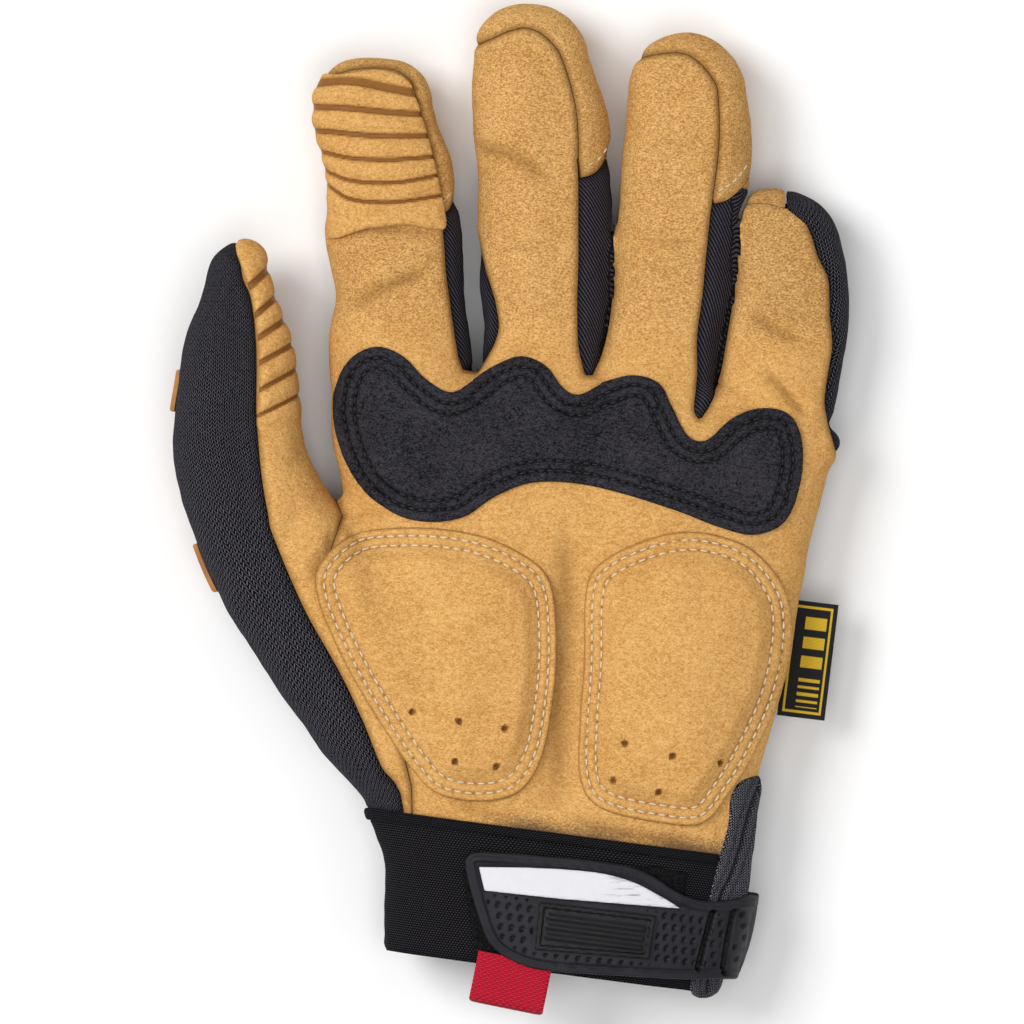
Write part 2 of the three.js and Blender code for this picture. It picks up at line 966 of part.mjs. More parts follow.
// A moulded guard backs the thumb's knit and shows past its edge at two lobes.
function guardStrip(top, ...shares) {
  return sheet(seamOn(thumb, ...shares), gap, gap + guardThickness, seamHeight + gap, top);
}

const guardSpine = guardStrip(
  guardTop * 0.72,
  [0.37, -0.8],
  [0.37, -0.4],
  [0.78, -0.37],
  [0.78, -0.8],
);
const upperLobe = guardStrip(guardTop * 1.1, [0.695, -0.8], [0.695, -0.44], [0.77, -0.42], [0.77, -0.8]);
const lowerLobe = guardStrip(guardTop, [0.375, -0.8], [0.375, -0.46], [0.46, -0.46], [0.46, -0.8]);
const thumbGuard = mainBody(guardSpine.add(upperLobe).add(lowerLobe));

// Cuff trim and closure

const bindingFrom = gap;
const bindingTo = gap + bindingThickness;
const strapFrom = bindingTo + gap;
const strapTo = strapFrom + strapThickness;

const bindingOutline = rounded([
  palmPoint(0.372, 0.12),
  palmPoint(0.345, 0.08),
  palmPoint(0.338, 0.01),
  palmPoint(0.312, -0.1),
  palmPoint(0.285, -0.24),
  palmPoint(0.262, -0.372),
  palmPoint(0.312, -0.376),
  palmPoint(0.345, -0.25),
  palmPoint(0.4, -0.1),
  palmPoint(0.44, 0.04),
  palmPoint(0.43, 0.12),
]);
const wristBinding = mainBody(sheet(bindingOutline, bindingFrom, bindingTo, seamHeight, wide));
const bindingRoom = prism(offset(bindingOutline, gap), seamHeight - gap, wide);

const tapeDrop = tapeWidth / cuffHeight;
const tapeOutline = [
  cuffPoint(-2, -0.3 * tapeDrop),
  cuffPoint(-2, 0.7 * tapeDrop),
  cuffPoint(2, 0.7 * tapeDrop),
  cuffPoint(2, -0.3 * tapeDrop),
];
const guardRoom = prism(offset(thenarOutline, gap)).add(prism(offset(heelOutline, gap)));
const cuffTape = mainBody(
  sheet(tapeOutline, gap, gap + tapeThickness).subtract(bindingRoom).subtract(guardRoom),
);

const loopOutline = [
  cuffPoint(-0.28, 0.34),
  cuffPoint(-0.24, 0.95),
  cuffPoint(0.3, 0.93),
  cuffPoint(0.335, 0.14),
  cuffPoint(0.25, 0.12),
];
const loopPatch = mainBody(
  sheet(loopOutline, gap, gap + loopThickness, seamHeight, wide).subtract(bindingRoom),
);

const strapFront = rounded([
  cuffPoint(-0.265, 0.32),
  cuffPoint(-0.258, 0.215),
  cuffPoint(-0.21, 0.175),
  cuffPoint(-0.03, 0.152),
  cuffPoint(0.14, 0.14),
  cuffPoint(0.225, 0.175),
  cuffPoint(0.315, 0.295),
  cuffPoint(0.39, 0.325),
  cuffPoint(0.47, 0.27),
  cuffPoint(0.56, 0.17),
  cuffPoint(0.66, 0.14),
  cuffPoint(0.67, 0.75),
  cuffPoint(0.56, 0.765),
  cuffPoint(0.475, 0.815),
  cuffPoint(0.33, 0.9),
  cuffPoint(0.15, 0.945),
  cuffPoint(-0.05, 0.978),
  cuffPoint(-0.14, 0.94),
  cuffPoint(-0.2, 0.84),
  cuffPoint(-0.235, 0.62),
]);
const strapBack = [cuffPoint(0.1, 0.25), cuffPoint(0.1, 0.78), cuffPoint(0.9, 0.7), cuffPoint(0.9, 0.2)];
const strapTurn = palmDepth * 0.52;
const strapFloor = strapTo - strapRecess;
const stripeFloor = strapFloor - stripeThickness;

function grooveBar(across) {
  const half = strapGroove / cuffWidth / 2;
  const slant = 0.04;
  return prism([
    cuffPoint(across - half, 0.36),
    cuffPoint(across - half - slant, 0.76),
    cuffPoint(across + half - slant, 0.76),
    cuffPoint(across + half, 0.36),
  ]);
}

const stripeOutline = [
  cuffPoint(-0.228, 0.28),
  cuffPoint(-0.208, 0.45),
  cuffPoint(0.1, 0.425),
  cuffPoint(0.305, 0.405),
  cuffPoint(0.268, 0.325),
  cuffPoint(0.224, 0.265),
  cuffPoint(0.12, 0.235),
  cuffPoint(-0.04, 0.24),
];
const strapRecessZone = prism(offset(strapFront, -strapRim), strapTurn, wide);
const stripeZone = prism(offset(stripeOutline, gap), strapTurn, wide);
const strapGrooves = [0.39, 0.435, 0.475, 0.51].map(grooveBar).reduce((sum, bar) => sum.add(bar));
const strapBody = sheet(strapFront, strapFrom, strapTo, strapTurn, wide)
  .add(sheet(strapBack, strapFrom, strapTo, -wide, strapTurn))
  .subtract(strapRecessZone.subtract(hand(strapFloor)))
  .subtract(stripeZone.subtract(hand(stripeFloor)))
  .subtract(strapGrooves.intersect(slab(strapTurn, wide)).subtract(hand(strapFloor - strapRecess)));
const closureStrap = mainBody(strapBody);
const stripe = mainBody(
  sheet(stripeOutline, stripeFloor + gap, stripeFloor + gap + stripeThickness, strapTurn, wide),
);

const plateOutline = [
  cuffPoint(-0.066, 0.485),
  cuffPoint(-0.08, 0.835),
  cuffPoint(0.228, 0.795),
  cuffPoint(0.248, 0.475),
];
const plateFrom = strapFloor + gap;
const plate = mainBody(
  sheet(plateOutline, plateFrom, plateFrom + plateRise, strapTurn, wide),
);

// A folded webbing loop is sewn on the cuff's hem and hangs past it.
const strapRoom = prism(offset(strapFront, gap));
const loopRoom = prism(offset(loopOutline, gap));

function foldedLoop() {
  const fold = webbingThickness * 1.25;
  const profile = new THREE.Shape();
  const mouth = -webbingLoop + fold;
  profile.moveTo(0, 0);
  profile.lineTo(mouth, 0);
  profile.absarc(mouth, fold, fold, -Math.PI / 2, -1.5 * Math.PI, true);
  profile.lineTo(0, 2 * fold);
  profile.lineTo(0, 2 * fold - webbingThickness);
  profile.lineTo(mouth, 2 * fold - webbingThickness);
  profile.absarc(mouth, fold, fold - webbingThickness, -1.5 * Math.PI, -Math.PI / 2, false);
  profile.lineTo(0, webbingThickness);
  const geometry = new THREE.ExtrudeGeometry(profile, {
    depth: webbingWidth,
    bevelEnabled: false,
    curveSegments: 5,
  });
  // The profile's x runs along the loop and its y up, so the width comes to lie along the cuff.
  geometry.applyMatrix4(
    new THREE.Matrix4().makeBasis(
      new THREE.Vector3(0, 1, 0),
      new THREE.Vector3(0, 0, 1),
      new THREE.Vector3(1, 0, 0),
    ),
  );
  const place = cuffPoint(-0.235, 0.9);
  const hemRow = handRows[1];
  geometry.rotateZ(-(cuffTilt + 4) * degree);
  geometry.translate(place.x, place.y, palmDepth * (hemRow.base + hemRow.depth) + gap);
  return solidOf(geometry);
}
const pullTab = mainBody(foldedLoop().subtract(strapRoom).subtract(loopRoom).subtract(hand(gap)));

// A folded label stands out of the side seam.
function sideLabel() {
  const box = new THREE.BoxGeometry(labelWidth, labelHeight, labelThickness);
  box.rotateZ(-labelTilt * degree);
  const place = palmPoint(0.5, 0.396);
  box.translate(place.x, place.y, seamHeight + palmDepth * 0.16);
  return solidOf(box).subtract(hand(gap));
}
const label = mainBody(sideLabel());

// Materials and the assembly

function material(color, roughness) {
  return new THREE.MeshStandardMaterial({ color, roughness, metalness: 0 });
}

const leather = material(0xd9a052, 0.9);
const knit = material(0x26262b, 0.95);
const twill = material(0x38363e, 0.85);
const suede = material(0x2b2b2f, 1);
const elastic = material(0x17171a, 0.9);
const greyKnit = material(0x43444c, 0.95);
const rubber = material(0x1c1d20, 0.55);
const reflective = material(0xe9e9ec, 0.35);
const webbing = material(0xc8102a, 0.6);
const hookLoop = material(0x141416, 1);
const guardRubber = material(0xb5743a, 0.7);

const pieces = [
  ["palm_panel", palmPanel, leather],
  ["back_panel", backPanel, knit],
  ["thumb_front", thumbFront, leather],
  ["thumb_back", thumbBack, knit],
  ["index_tip_cap", indexCap, leather],
  ["middle_tip_cap", middleCap, leather],
  ["ring_tip_cap", ringCap, leather],
  ["little_tip_cap", littleCap, leather],
  ["index_side_strip", indexSideStrip, twill],
  ["middle_side_strip", middleSideStrip, twill],
  ["ring_side_strip", ringSideStrip, twill],
  ["knuckle_patch", knucklePatch, suede],
  ["thenar_pad", thenarPad, leather],
  ["heel_pad", heelPad, leather],
  ["index_grip", indexGrip, leather],
  ["thumb_grip", thumbGrip, leather],
  ["thumb_guard", thumbGuard, guardRubber],
  ["cuff_band", cuffBand, elastic],
  ["cuff_tape", cuffTape, elastic],
  ["wrist_binding", wristBinding, greyKnit],
  ["loop_patch", loopPatch, hookLoop],
  ["closure_strap", closureStrap, rubber],
  ["strap_stripe", stripe, reflective],
  ["strap_plate", plate, rubber],
  ["pull_tab", pullTab, webbing],
  ["side_label", label, knit],
];

const glove = new THREE.Group();
pieces.forEach(([name, solid, finish]) => {
  const mesh = new THREE.Mesh(meshGeometry(solid), finish);
  mesh.name = name;
  glove.add(mesh);
});

// The origin is under the middle of the glove, on the surface that it lies on.
const bounds = new THREE.Box3().setFromObject(glove);
const middlePoint = bounds.getCenter(new THREE.Vector3());
glove.position.set(-middlePoint.x, -middlePoint.y, -bounds.min.z);

export default glove;
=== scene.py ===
"""Looks of a left-hand mechanic's glove that lies on its back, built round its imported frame.

Shapes are worked out in millimetres in the glove's own plan: x runs to the little finger,
y to the fingertips and z up from the table, from the middle of the wrist.
"""

import bpy
import numpy as np
from bpy.props import FloatProperty, FloatVectorProperty, PointerProperty
from bpy.types import Operator, Panel, PropertyGroup
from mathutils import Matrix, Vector


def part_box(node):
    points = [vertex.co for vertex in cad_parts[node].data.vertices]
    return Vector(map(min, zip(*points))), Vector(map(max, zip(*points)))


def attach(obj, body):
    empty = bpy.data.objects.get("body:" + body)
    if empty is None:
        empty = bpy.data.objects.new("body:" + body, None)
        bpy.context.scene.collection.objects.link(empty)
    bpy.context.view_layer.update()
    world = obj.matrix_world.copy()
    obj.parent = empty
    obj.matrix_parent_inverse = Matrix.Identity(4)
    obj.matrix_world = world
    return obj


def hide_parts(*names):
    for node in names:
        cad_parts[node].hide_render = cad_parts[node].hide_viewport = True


bl_info = {
    "name": "Mechanic glove",
    "version": (1, 0, 0),
    "blender": (4, 5, 0),
    "location": "3D View > Sidebar > Glove",
    "description": "Builds a padded work glove round its frame",
    "category": "Object",
}

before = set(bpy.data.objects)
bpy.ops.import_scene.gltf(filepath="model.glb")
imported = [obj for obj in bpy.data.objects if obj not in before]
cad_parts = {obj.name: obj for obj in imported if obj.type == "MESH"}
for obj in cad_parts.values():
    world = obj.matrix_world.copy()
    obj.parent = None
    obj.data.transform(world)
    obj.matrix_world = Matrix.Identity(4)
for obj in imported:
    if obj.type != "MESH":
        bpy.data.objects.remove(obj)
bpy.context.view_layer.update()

# The glove's sizes in millimetres, as in the frame
PALM_WIDTH = 119
PALM_LENGTH = 103
PALM_DEPTH = 31
PALM_HOLLOW = 3.2
CUFF_WIDTH = 87
CUFF_HEIGHT = 33
CUFF_TILT = np.radians(7.5)
CUFF_DROP = 1.5
WALL = 1.5
GAP = 0.3
UNDERSIDE = -0.1
SEAM_HEIGHT = 8
SLOT = 1.3
INDEX_ROOT_UP = 0.722
INDEX_LENGTH = 111
LABEL_WIDTH = 11.5
LABEL_HEIGHT = 28
LABEL_TILT = np.radians(7)
LABEL_PLACE = (0.5, 0.396)

# The plan's place in the frame, from the tip of the index finger and the corner of the label
label_reach = (
    LABEL_WIDTH / 2 * np.cos(LABEL_TILT) + LABEL_HEIGHT / 2 * np.sin(LABEL_TILT)
)
PLAN_SHIFT = np.array(
    [
        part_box("side_label")[1].x * 1000 - LABEL_PLACE[0] * PALM_WIDTH - label_reach,
        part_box("index_tip_cap")[1].y * 1000 - INDEX_ROOT_UP * PALM_LENGTH - INDEX_LENGTH,
        0,
    ]
)

# The photograph's scale, and the pixel at the middle of the wrist
PHOTO_SCALE = 0.24
WRIST_PIXEL = (560, 830)
PHOTO_MIDDLE = 512

# A distance past every other, and a depth outside every panel
FAR = 1e6
OUTSIDE = -9.0
# A share of a finger's length that lies past its tip
PAST_TIP = 1.3

# Corners of the boxes in which the shell, the cuff's tape and the strap are worked out
SKIN_TOP = 42
SHELL_BOX = ((-98, -48, -2), (70, 203, 40))
TAPE_BOX = ((-50, -16, -2), (52, 12, SKIN_TOP))
STRAP_BOX = ((-26, -44, -2), (66, 4, SKIN_TOP))
# Sizes of the faces of the smaller pieces
STRAP_STEP = 0.32
TAPE_STEP = 0.4
GRIP_STEP = 0.4
BINDING_STEP = 0.42
GUARD_STEP = 0.5
TRIM_STEP = 0.6
# Height above which the cuff shows its upper side
CUFF_MIDDLE = 16


def pixels(*places):
    """Plan points of pixels of the photograph: offset from the wrist's pixel times the scale."""
    return (np.array(places, float) - WRIST_PIXEL) * (PHOTO_SCALE, -PHOTO_SCALE)


# Arrays and curves


def columns(*values):
    """The values as the columns of one array."""
    return np.stack(values, 1)


def unit(vectors):
    """Each row of the array, at length 1."""
    return vectors / (np.linalg.norm(vectors, axis=1)[:, None] + 1e-9)


def bell(way, width):
    """1 where the way is 0, falling on both sides over about that width."""
    return np.exp(-((way / width) ** 2))


def distances(path):
    """The way travelled along a path to each of its points."""
    steps = np.linalg.norm(np.diff(path, axis=0), axis=1)
    return np.concatenate([[0], np.cumsum(steps)])


def smooth(at, xs, ys):
    """Cubic Hermite curve through the points, with slopes from their neighbours.
    It stays level past its ends."""
    slopes = np.gradient(ys, xs)
    at = np.clip(at, xs[0], xs[-1])
    i = np.clip(np.searchsorted(xs, at) - 1, 0, len(xs) - 2)
    span = xs[i + 1] - xs[i]
    t = (at - xs[i]) / span
    rise = t * t * (3 - 2 * t)
    start = t * (1 - t) ** 2 * span * slopes[i]
    end = t * t * (t - 1) * span * slopes[i + 1]
    return ys[i] + (ys[i + 1] - ys[i]) * rise + start + end


def spline(points, closed=True, per=5):
    """Catmull-Rom curve: between two points a cubic whose end slopes are half the step
    from the point before to the point after."""
    points = np.asarray(points, float)
    if closed:
        before, after = np.roll(points, 1, 0), np.roll(points, -1, 0)
        beyond = np.roll(points, -2, 0)
    else:
        padded = np.vstack([2 * points[0] - points[1], points, 2 * points[-1] - points[-2]])
        before, points, after, beyond = padded[:-3], padded[1:-2], padded[2:-1], padded[3:]
    t = (np.arange(per) / per)[None, :, None]
    p0, p1, p2, p3 = (each[:, None, :] for each in (before, points, after, beyond))
    curve = 0.5 * (
        2 * p1
        + (p2 - p0) * t
        + (2 * p0 - 5 * p1 + 4 * p2 - p3) * t**2
        + (3 * p1 - p0 - 3 * p2 + p3) * t**3
    )
    curve = curve.reshape(-1, points.shape[1])
    return curve if closed else np.vstack([curve, after[-1]])


def photo_line(path):
    """Open curve through pixels of the photograph."""
    return spline(pixels(*path), closed=False)


def inside(outline, x, y):
    """Distance to a closed outline in plan, positive inside it: the shortest distance to its
    sides, with the sign of the count of sides crossed on the way out."""
    start = np.asarray(outline)
    end = np.roll(start, -1, 0)
    nearest = np.full(np.shape(x), FAR)
    crossed = np.zeros(np.shape(x), bool)
    for (ax, ay), (bx, by) in zip(start, end):
        dx, dy = bx - ax, by - ay
        share = np.clip(((x - ax) * dx + (y - ay) * dy) / (dx * dx + dy * dy + 1e-9), 0, 1)
        apart = (x - ax - share * dx) ** 2 + (y - ay - share * dy) ** 2
        nearest = np.minimum(nearest, apart)
        if ay != by:
            spans = (ay > y) != (by > y)
            crossed ^= spans & (x < ax + (y - ay) / (by - ay) * dx)
    return np.where(crossed, 1, -1) * np.sqrt(nearest)


def beside(path, x, y):
    """Distance to an open path in plan, and the share of the way along it."""
    path = np.asarray(path)
    travelled = distances(path)
    nearest = np.full(np.shape(x), FAR)
    along = np.zeros(np.shape(x))
    for (ax, ay), (bx, by), done, step in zip(path, path[1:], travelled, np.diff(travelled)):
        dx, dy = bx - ax, by - ay
        share = np.clip(((x - ax) * dx + (y - ay) * dy) / (step * step + 1e-9), 0, 1)
        apart = np.hypot(x - ax - share * dx, y - ay - share * dy)
        along = np.where(apart < nearest, (done + share * step) / travelled[-1], along)
        nearest = np.minimum(nearest, apart)
    return nearest, along


def inwards(outline, distance):
    """The outline moved inwards: each point goes along the normal of its neighbours' chord."""
    chord = np.roll(outline, -1, 0) - np.roll(outline, 1, 0)
    normal = unit(columns(-chord[:, 1], chord[:, 0]))
    x, y = outline[:, 0], outline[:, 1]
    area = np.sum(x * np.roll(y, -1) - y * np.roll(x, -1))
    return outline + np.sign(area) * normal * distance


def evenly(path, pitch):
    """Ways along a path at about an even pitch, and what gives the path's points at a way."""
    travelled = distances(path)
    count = max(2, int(round(travelled[-1] / pitch)))
    at = (np.arange(count) + 0.5) * travelled[-1] / count
    return at, lambda where: columns(*(np.interp(where, travelled, each) for each in path.T))


def ease(value, low, high):
    """Smooth step from 0 at low to 1 at high."""
    t = np.clip((value - low) / (high - low), 0, 1)
    return t * t * (3 - 2 * t)


def ripple(points, size, seed=0):
    """Soft unevenness between about -1 and 1: the mean of seven sine waves whose directions
    and phases come from one seeded source."""
    source = np.random.default_rng(seed)
    waves = unit(source.normal(size=(7, 3)))
    waves *= source.uniform(0.7, 1.5, (7, 1)) * 2 * np.pi / size
    return np.sin(points @ waves.T + source.uniform(0, 6.28, 7)).sum(1) / 3.2


def unevenness(points):
    """Soft swells of the stuffed cloth, shared by the shell and what is sewn on it."""
    return 0.22 * ripple(points, 19, 3) + 0.07 * ripple(points, 6, 4)


# The form of the glove: tubes of superellipse section, joined with soft creases


class Tube:
    """A closed tube along +Y. Each row gives a section: its place along the tube, its lean to
    the side, and its width, underside and depth, as shares of the tube's sizes."""

    def __init__(self, root, size, lean, roundness, tip, rows):
        self.root = np.array([root[0] * PALM_WIDTH, root[1] * PALM_LENGTH])
        self.length, self.width, self.depth = size
        self.roundness, self.tip_roundness = roundness
        rows = np.array(rows, float)
        self.along = rows[:, 0]
        self.middle = self.root[0] + rows[:, 1] * lean
        self.half_width = rows[:, 2] * self.width / 2
        self.height = (rows[:, 3] + rows[:, 4] / 2) * self.depth
        self.half_depth = rows[:, 4] * self.depth / 2
        self.tip_side = self.root[0] + tip[0] * lean
        self.tip_lift = tip[1] * self.depth

    def section(self, y):
        """Middle, height, half width and half depth at y, and the shares of the way through
        the rounded tip and through the rounded root."""
        along = (y - self.root[1]) / self.length
        last = self.along[-1]
        tip = np.maximum(0, (along - last) / (1 - last))
        middle = smooth(along, self.along, self.middle)
        height = smooth(along, self.along, self.height)
        return (
            middle + (self.tip_side - self.middle[-1]) * tip,
            height + self.tip_lift * tip,
            smooth(along, self.along, self.half_width),
            smooth(along, self.along, self.half_depth),
            tip,
            np.maximum(0, -along / 0.08),
        )

    def reach(self, x, y, z):
        """Signed distance to the skin along the ray from the middle line. The section is
        |s|^p + |t|^p = 1, and the tip closes with ring^q + tip^q = 1."""
        middle, height, half_width, half_depth, tip, root = self.section(y)
        p, q = self.roundness, self.tip_roundness
        across, up = x - middle, z - height
        ring = np.abs(across / half_width) ** p + np.abs(up / half_depth) ** p
        full = np.maximum((ring ** (q / p) + tip**q + root**q) ** (1 / q), 1e-3)
        ends = tip * (1 - self.along[-1]) * self.length + root * 0.08 * self.length
        away = np.sqrt(across**2 + up**2 + ends**2)
        return away - away / full

    def plan(self, *shares):
        """Plan points at shares of the length and of the width from the middle line."""
        shares = np.array(shares, float)
        along = shares[:, 0]
        inner = np.clip(along, 0, self.along[-1])
        middle = smooth(inner, self.along, self.middle)
        width = 2 * smooth(inner, self.along, self.half_width)
        return np.stack(
            [middle + shares[:, 1] * width, self.root[1] + along * self.length], 1
        )


INDEX = Tube(
    (-0.313, INDEX_ROOT_UP),
    (INDEX_LENGTH, 31.5, 22),
    -7.9,
    (2.3, 2.2),
    (1, 0.03),
    [
        (0, 0, 0.61, 0.3, 0.7),
        (0.09, 0, 0.84, 0.14, 1.0),
        (0.26, 0.06, 1.06, 0.1, 1.07),
        (0.42, 0.17, 1.05, 0.1, 1.02),
        (0.48, 0.17, 0.99, 0.1, 0.97),
        (0.54, 0.22, 1.01, 0.1, 1.01),
        (0.63, 0.35, 1.03, 0.13, 1.0),
        (0.68, 0.37, 0.98, 0.15, 0.92),
        (0.78, 0.54, 0.97, 0.19, 0.92),
        (0.86, 0.88, 0.94, 0.23, 0.86),
        (0.9, 0.97, 0.91, 0.26, 0.82),
    ],
)
MIDDLE = Tube(
    (-0.04, 0.722),
    (124, 32, 22.5),
    -3.1,
    (2.3, 2.1),
    (1, 0.03),
    [
        (0, 0, 0.6, 0.3, 0.7),
        (0.08, 0, 0.82, 0.14, 1.0),
        (0.26, -0.04, 0.96, 0.1, 1.07),
        (0.37, -0.45, 0.9, 0.1, 1.02),
        (0.45, -0.45, 0.97, 0.1, 0.97),
        (0.52, -0.45, 1.01, 0.1, 1.02),
        (0.62, -0.42, 1.01, 0.12, 1.0),
        (0.68, -0.28, 0.99, 0.14, 0.93),
        (0.76, -0.15, 1.02, 0.17, 0.96),
        (0.84, 0.33, 0.95, 0.21, 0.89),
        (0.9, 0.65, 0.85, 0.25, 0.82),
    ],
)
RING = Tube(
    (0.192, 0.722),
    (117, 30.5, 22),
    7.6,
    (2.3, 2.0),
    (0.92, 0.03),
    [
        (0, 0, 0.63, 0.3, 0.7),
        (0.08, 0, 0.83, 0.14, 1.0),
        (0.25, -0.04, 0.94, 0.1, 1.07),
        (0.39, 0.25, 0.93, 0.1, 1.0),
        (0.47, 0.53, 0.95, 0.1, 0.97),
        (0.56, 0.62, 1.01, 0.11, 1.02),
        (0.62, 0.76, 0.99, 0.13, 0.96),
        (0.73, 0.97, 1.02, 0.16, 0.97),
        (0.82, 1.04, 0.98, 0.2, 0.9),
        (0.87, 1.03, 0.93, 0.24, 0.84),
    ],
)
LITTLE = Tube(
    (0.387, 0.629),
    (89, 30, 20),
    8,
    (2.3, 2.1),
    (0.78, 0.03),
    [
        (0, 0, 0.56, 0.3, 0.7),
        (0.11, 0.15, 0.83, 0.14, 1.0),
        (0.38, 0.51, 1.0, 0.1, 1.06),
        (0.5, 0.8, 1.0, 0.1, 0.99),
        (0.6, 0.96, 0.99, 0.11, 1.02),
        (0.72, 1.15, 0.94, 0.14, 0.96),
        (0.8, 1.13, 0.9, 0.19, 0.9),
        (0.86, 1.1, 0.84, 0.24, 0.84),
    ],
)
THUMB = Tube(
    (-0.281, 0.07),
    (134, 32, 26),
    -44,
    (2.2, 1.9),
    (0.975, 0.02),
    [
        (0, 0, 0.72, 0.25, 0.7),
        (0.07, 0.11, 1.05, 0.13, 1.0),
        (0.18, 0.29, 1.24, 0.06, 1.17),
        (0.3, 0.48, 1.37, 0.05, 1.22),
        (0.4, 0.66, 1.34, 0.07, 1.19),
        (0.48, 0.79, 1.25, 0.11, 1.14),
        (0.54, 0.9, 1.12, 0.15, 1.08),
        (0.66, 1, 0.97, 0.23, 1.02),
        (0.75, 1, 0.88, 0.29, 0.97),
        (0.84, 1, 0.74, 0.36, 0.88),
        (0.9, 1, 0.54, 0.42, 0.76),
        (0.95, 1, 0.43, 0.42, 0.74),
    ],
)
FINGERS = {"index": INDEX, "middle": MIDDLE, "ring": RING, "little": LITTLE}

# The forks: two fingers, and the height in the photograph up to which cloth joins them
FORKS = (("index", "middle", 364), ("middle", "ring", 226), ("ring", "little", 214))
WEB_WIDTH = 3
# Widths of the creases where the thumb, the fingers and the floor meet the hand
THUMB_CREASE = 8
FINGER_CREASE = 6
FLOOR_CREASE = 3

# The hand's sections from past the hem to the knuckles: up, left, right, underside and depth
HAND_ROWS = np.array(
    [
        (-0.43, -0.355, 0.29, 0.11, 0.8),
        (-0.25, -0.355, 0.352, 0.11, 0.82),
        (-0.05, -0.355, 0.378, 0.1, 0.86),
        (0.035, -0.362, 0.388, 0.08, 0.89),
        (0.12, -0.39, 0.399, 0.01, 0.99),
        (0.26, -0.42, 0.432, -0.04, 1.06),
        (0.4, -0.44, 0.462, -0.05, 1.09),
        (0.54, -0.45, 0.482, -0.05, 1.07),
        (0.68, -0.442, 0.502, -0.04, 1.02),
        (0.82, -0.432, 0.522, -0.01, 0.94),
        (0.93, -0.445, 0.54, 0.03, 0.84),
        (0.99, -0.435, 0.4, 0.05, 0.79),
    ]
)
HAND_TOP_UP = 1.065
HAND_ROUNDNESS = 2.6


def hand_section(y):
    """Middle, height, half width and half depth of the hand at y."""
    up = HAND_ROWS[:, 0] * PALM_LENGTH
    left = smooth(y, up, HAND_ROWS[:, 1] * PALM_WIDTH)
    right = smooth(y, up, HAND_ROWS[:, 2] * PALM_WIDTH)
    base = smooth(y, up, HAND_ROWS[:, 3] * PALM_DEPTH)
    depth = smooth(y, up, HAND_ROWS[:, 4] * PALM_DEPTH)
    return (left + right) / 2, base + depth / 2, (right - left) / 2, depth / 2


def hand_reach(x, y, z):
    """Signed distance to the hand, as a tube whose upper side dips between its pads by
    a bell across the hand and a flatter bell along it."""
    middle, height, half_width, half_depth = hand_section(y)
    sideways = (x - 0.03 * PALM_WIDTH) / (0.12 * PALM_WIDTH)
    lengthways = (y - 0.36 * PALM_LENGTH) / (0.34 * PALM_LENGTH)
    dip = PALM_HOLLOW * np.exp(-(sideways**2) - lengthways**4)
    up = z - height
    up = up + dip * ease(up, -2, 6)
    across = x - middle
    p = HAND_ROUNDNESS
    first, last = HAND_ROWS[0, 0] * PALM_LENGTH, HAND_ROWS[-1, 0] * PALM_LENGTH
    span = HAND_TOP_UP * PALM_LENGTH - last
    top = np.maximum(0, (y - last) / span)
    below = np.maximum(0, (first - y) / span)
    ring = np.abs(across / half_width) ** p + np.abs(up / half_depth) ** p
    full = np.maximum(np.sqrt(ring ** (2 / p) + top**2 + below**2), 1e-3)
    away = np.sqrt(across**2 + up**2 + ((top + below) * span) ** 2)
    return away - away / full


def join(a, b, width):
    """The nearer of two distances, with the crease between them filled over that width."""
    share = np.clip(0.5 + 0.5 * (b - a) / width, 0, 1)
    return b + (a - b) * share - width * share * (1 - share)


def glove(x, y, z):
    """Signed distance to the glove's outer skin, flattened where it rests. Where two fingers
    press together, both stay clear of the surface half way between them, and in the lower
    part of the fork its cloth joins them."""
    hand = hand_reach(x, y, z)
    apart = {name: tube.reach(x, y, z) for name, tube in FINGERS.items()}
    whole = dict(apart)
    total = join(THUMB.reach(x, y, z), hand, THUMB_CREASE)
    for one, other, level in FORKS:
        between = (apart[one] - apart[other]) / 2
        whole[one] = np.maximum(whole[one], between + SLOT / 2)
        whole[other] = np.maximum(whole[other], SLOT / 2 - between)
        top = (WRIST_PIXEL[1] - level) * PHOTO_SCALE
        web = join(apart[one], apart[other], WEB_WIDTH) + 5 * ease(y, top - 3, top + 2)
        total = np.minimum(total, web)
    for reach in whole.values():
        total = np.minimum(total, join(reach, hand, FINGER_CREASE))
    return -join(-total, z, FLOOR_CREASE)


def steepest(field, points, step=0.15):
    """Gradient of a field by central differences."""
    x, y, z = points.T
    return np.stack(
        [
            field(x + step, y, z) - field(x - step, y, z),
            field(x, y + step, z) - field(x, y - step, z),
            field(x, y, z + step) - field(x, y, z - step),
        ],
        1,
    ) / (2 * step)


def onto(field, points, rounds=2):
    """Moves points down the gradient onto the zero surface, and gives their normals."""
    for _ in range(rounds):
        slope = steepest(field, points)
        size = (slope**2).sum(1) + 1e-9
        move = (field(*points.T) / size)[:, None] * slope
        points = points - np.clip(move, -1, 1)
    return points, unit(steepest(field, points))


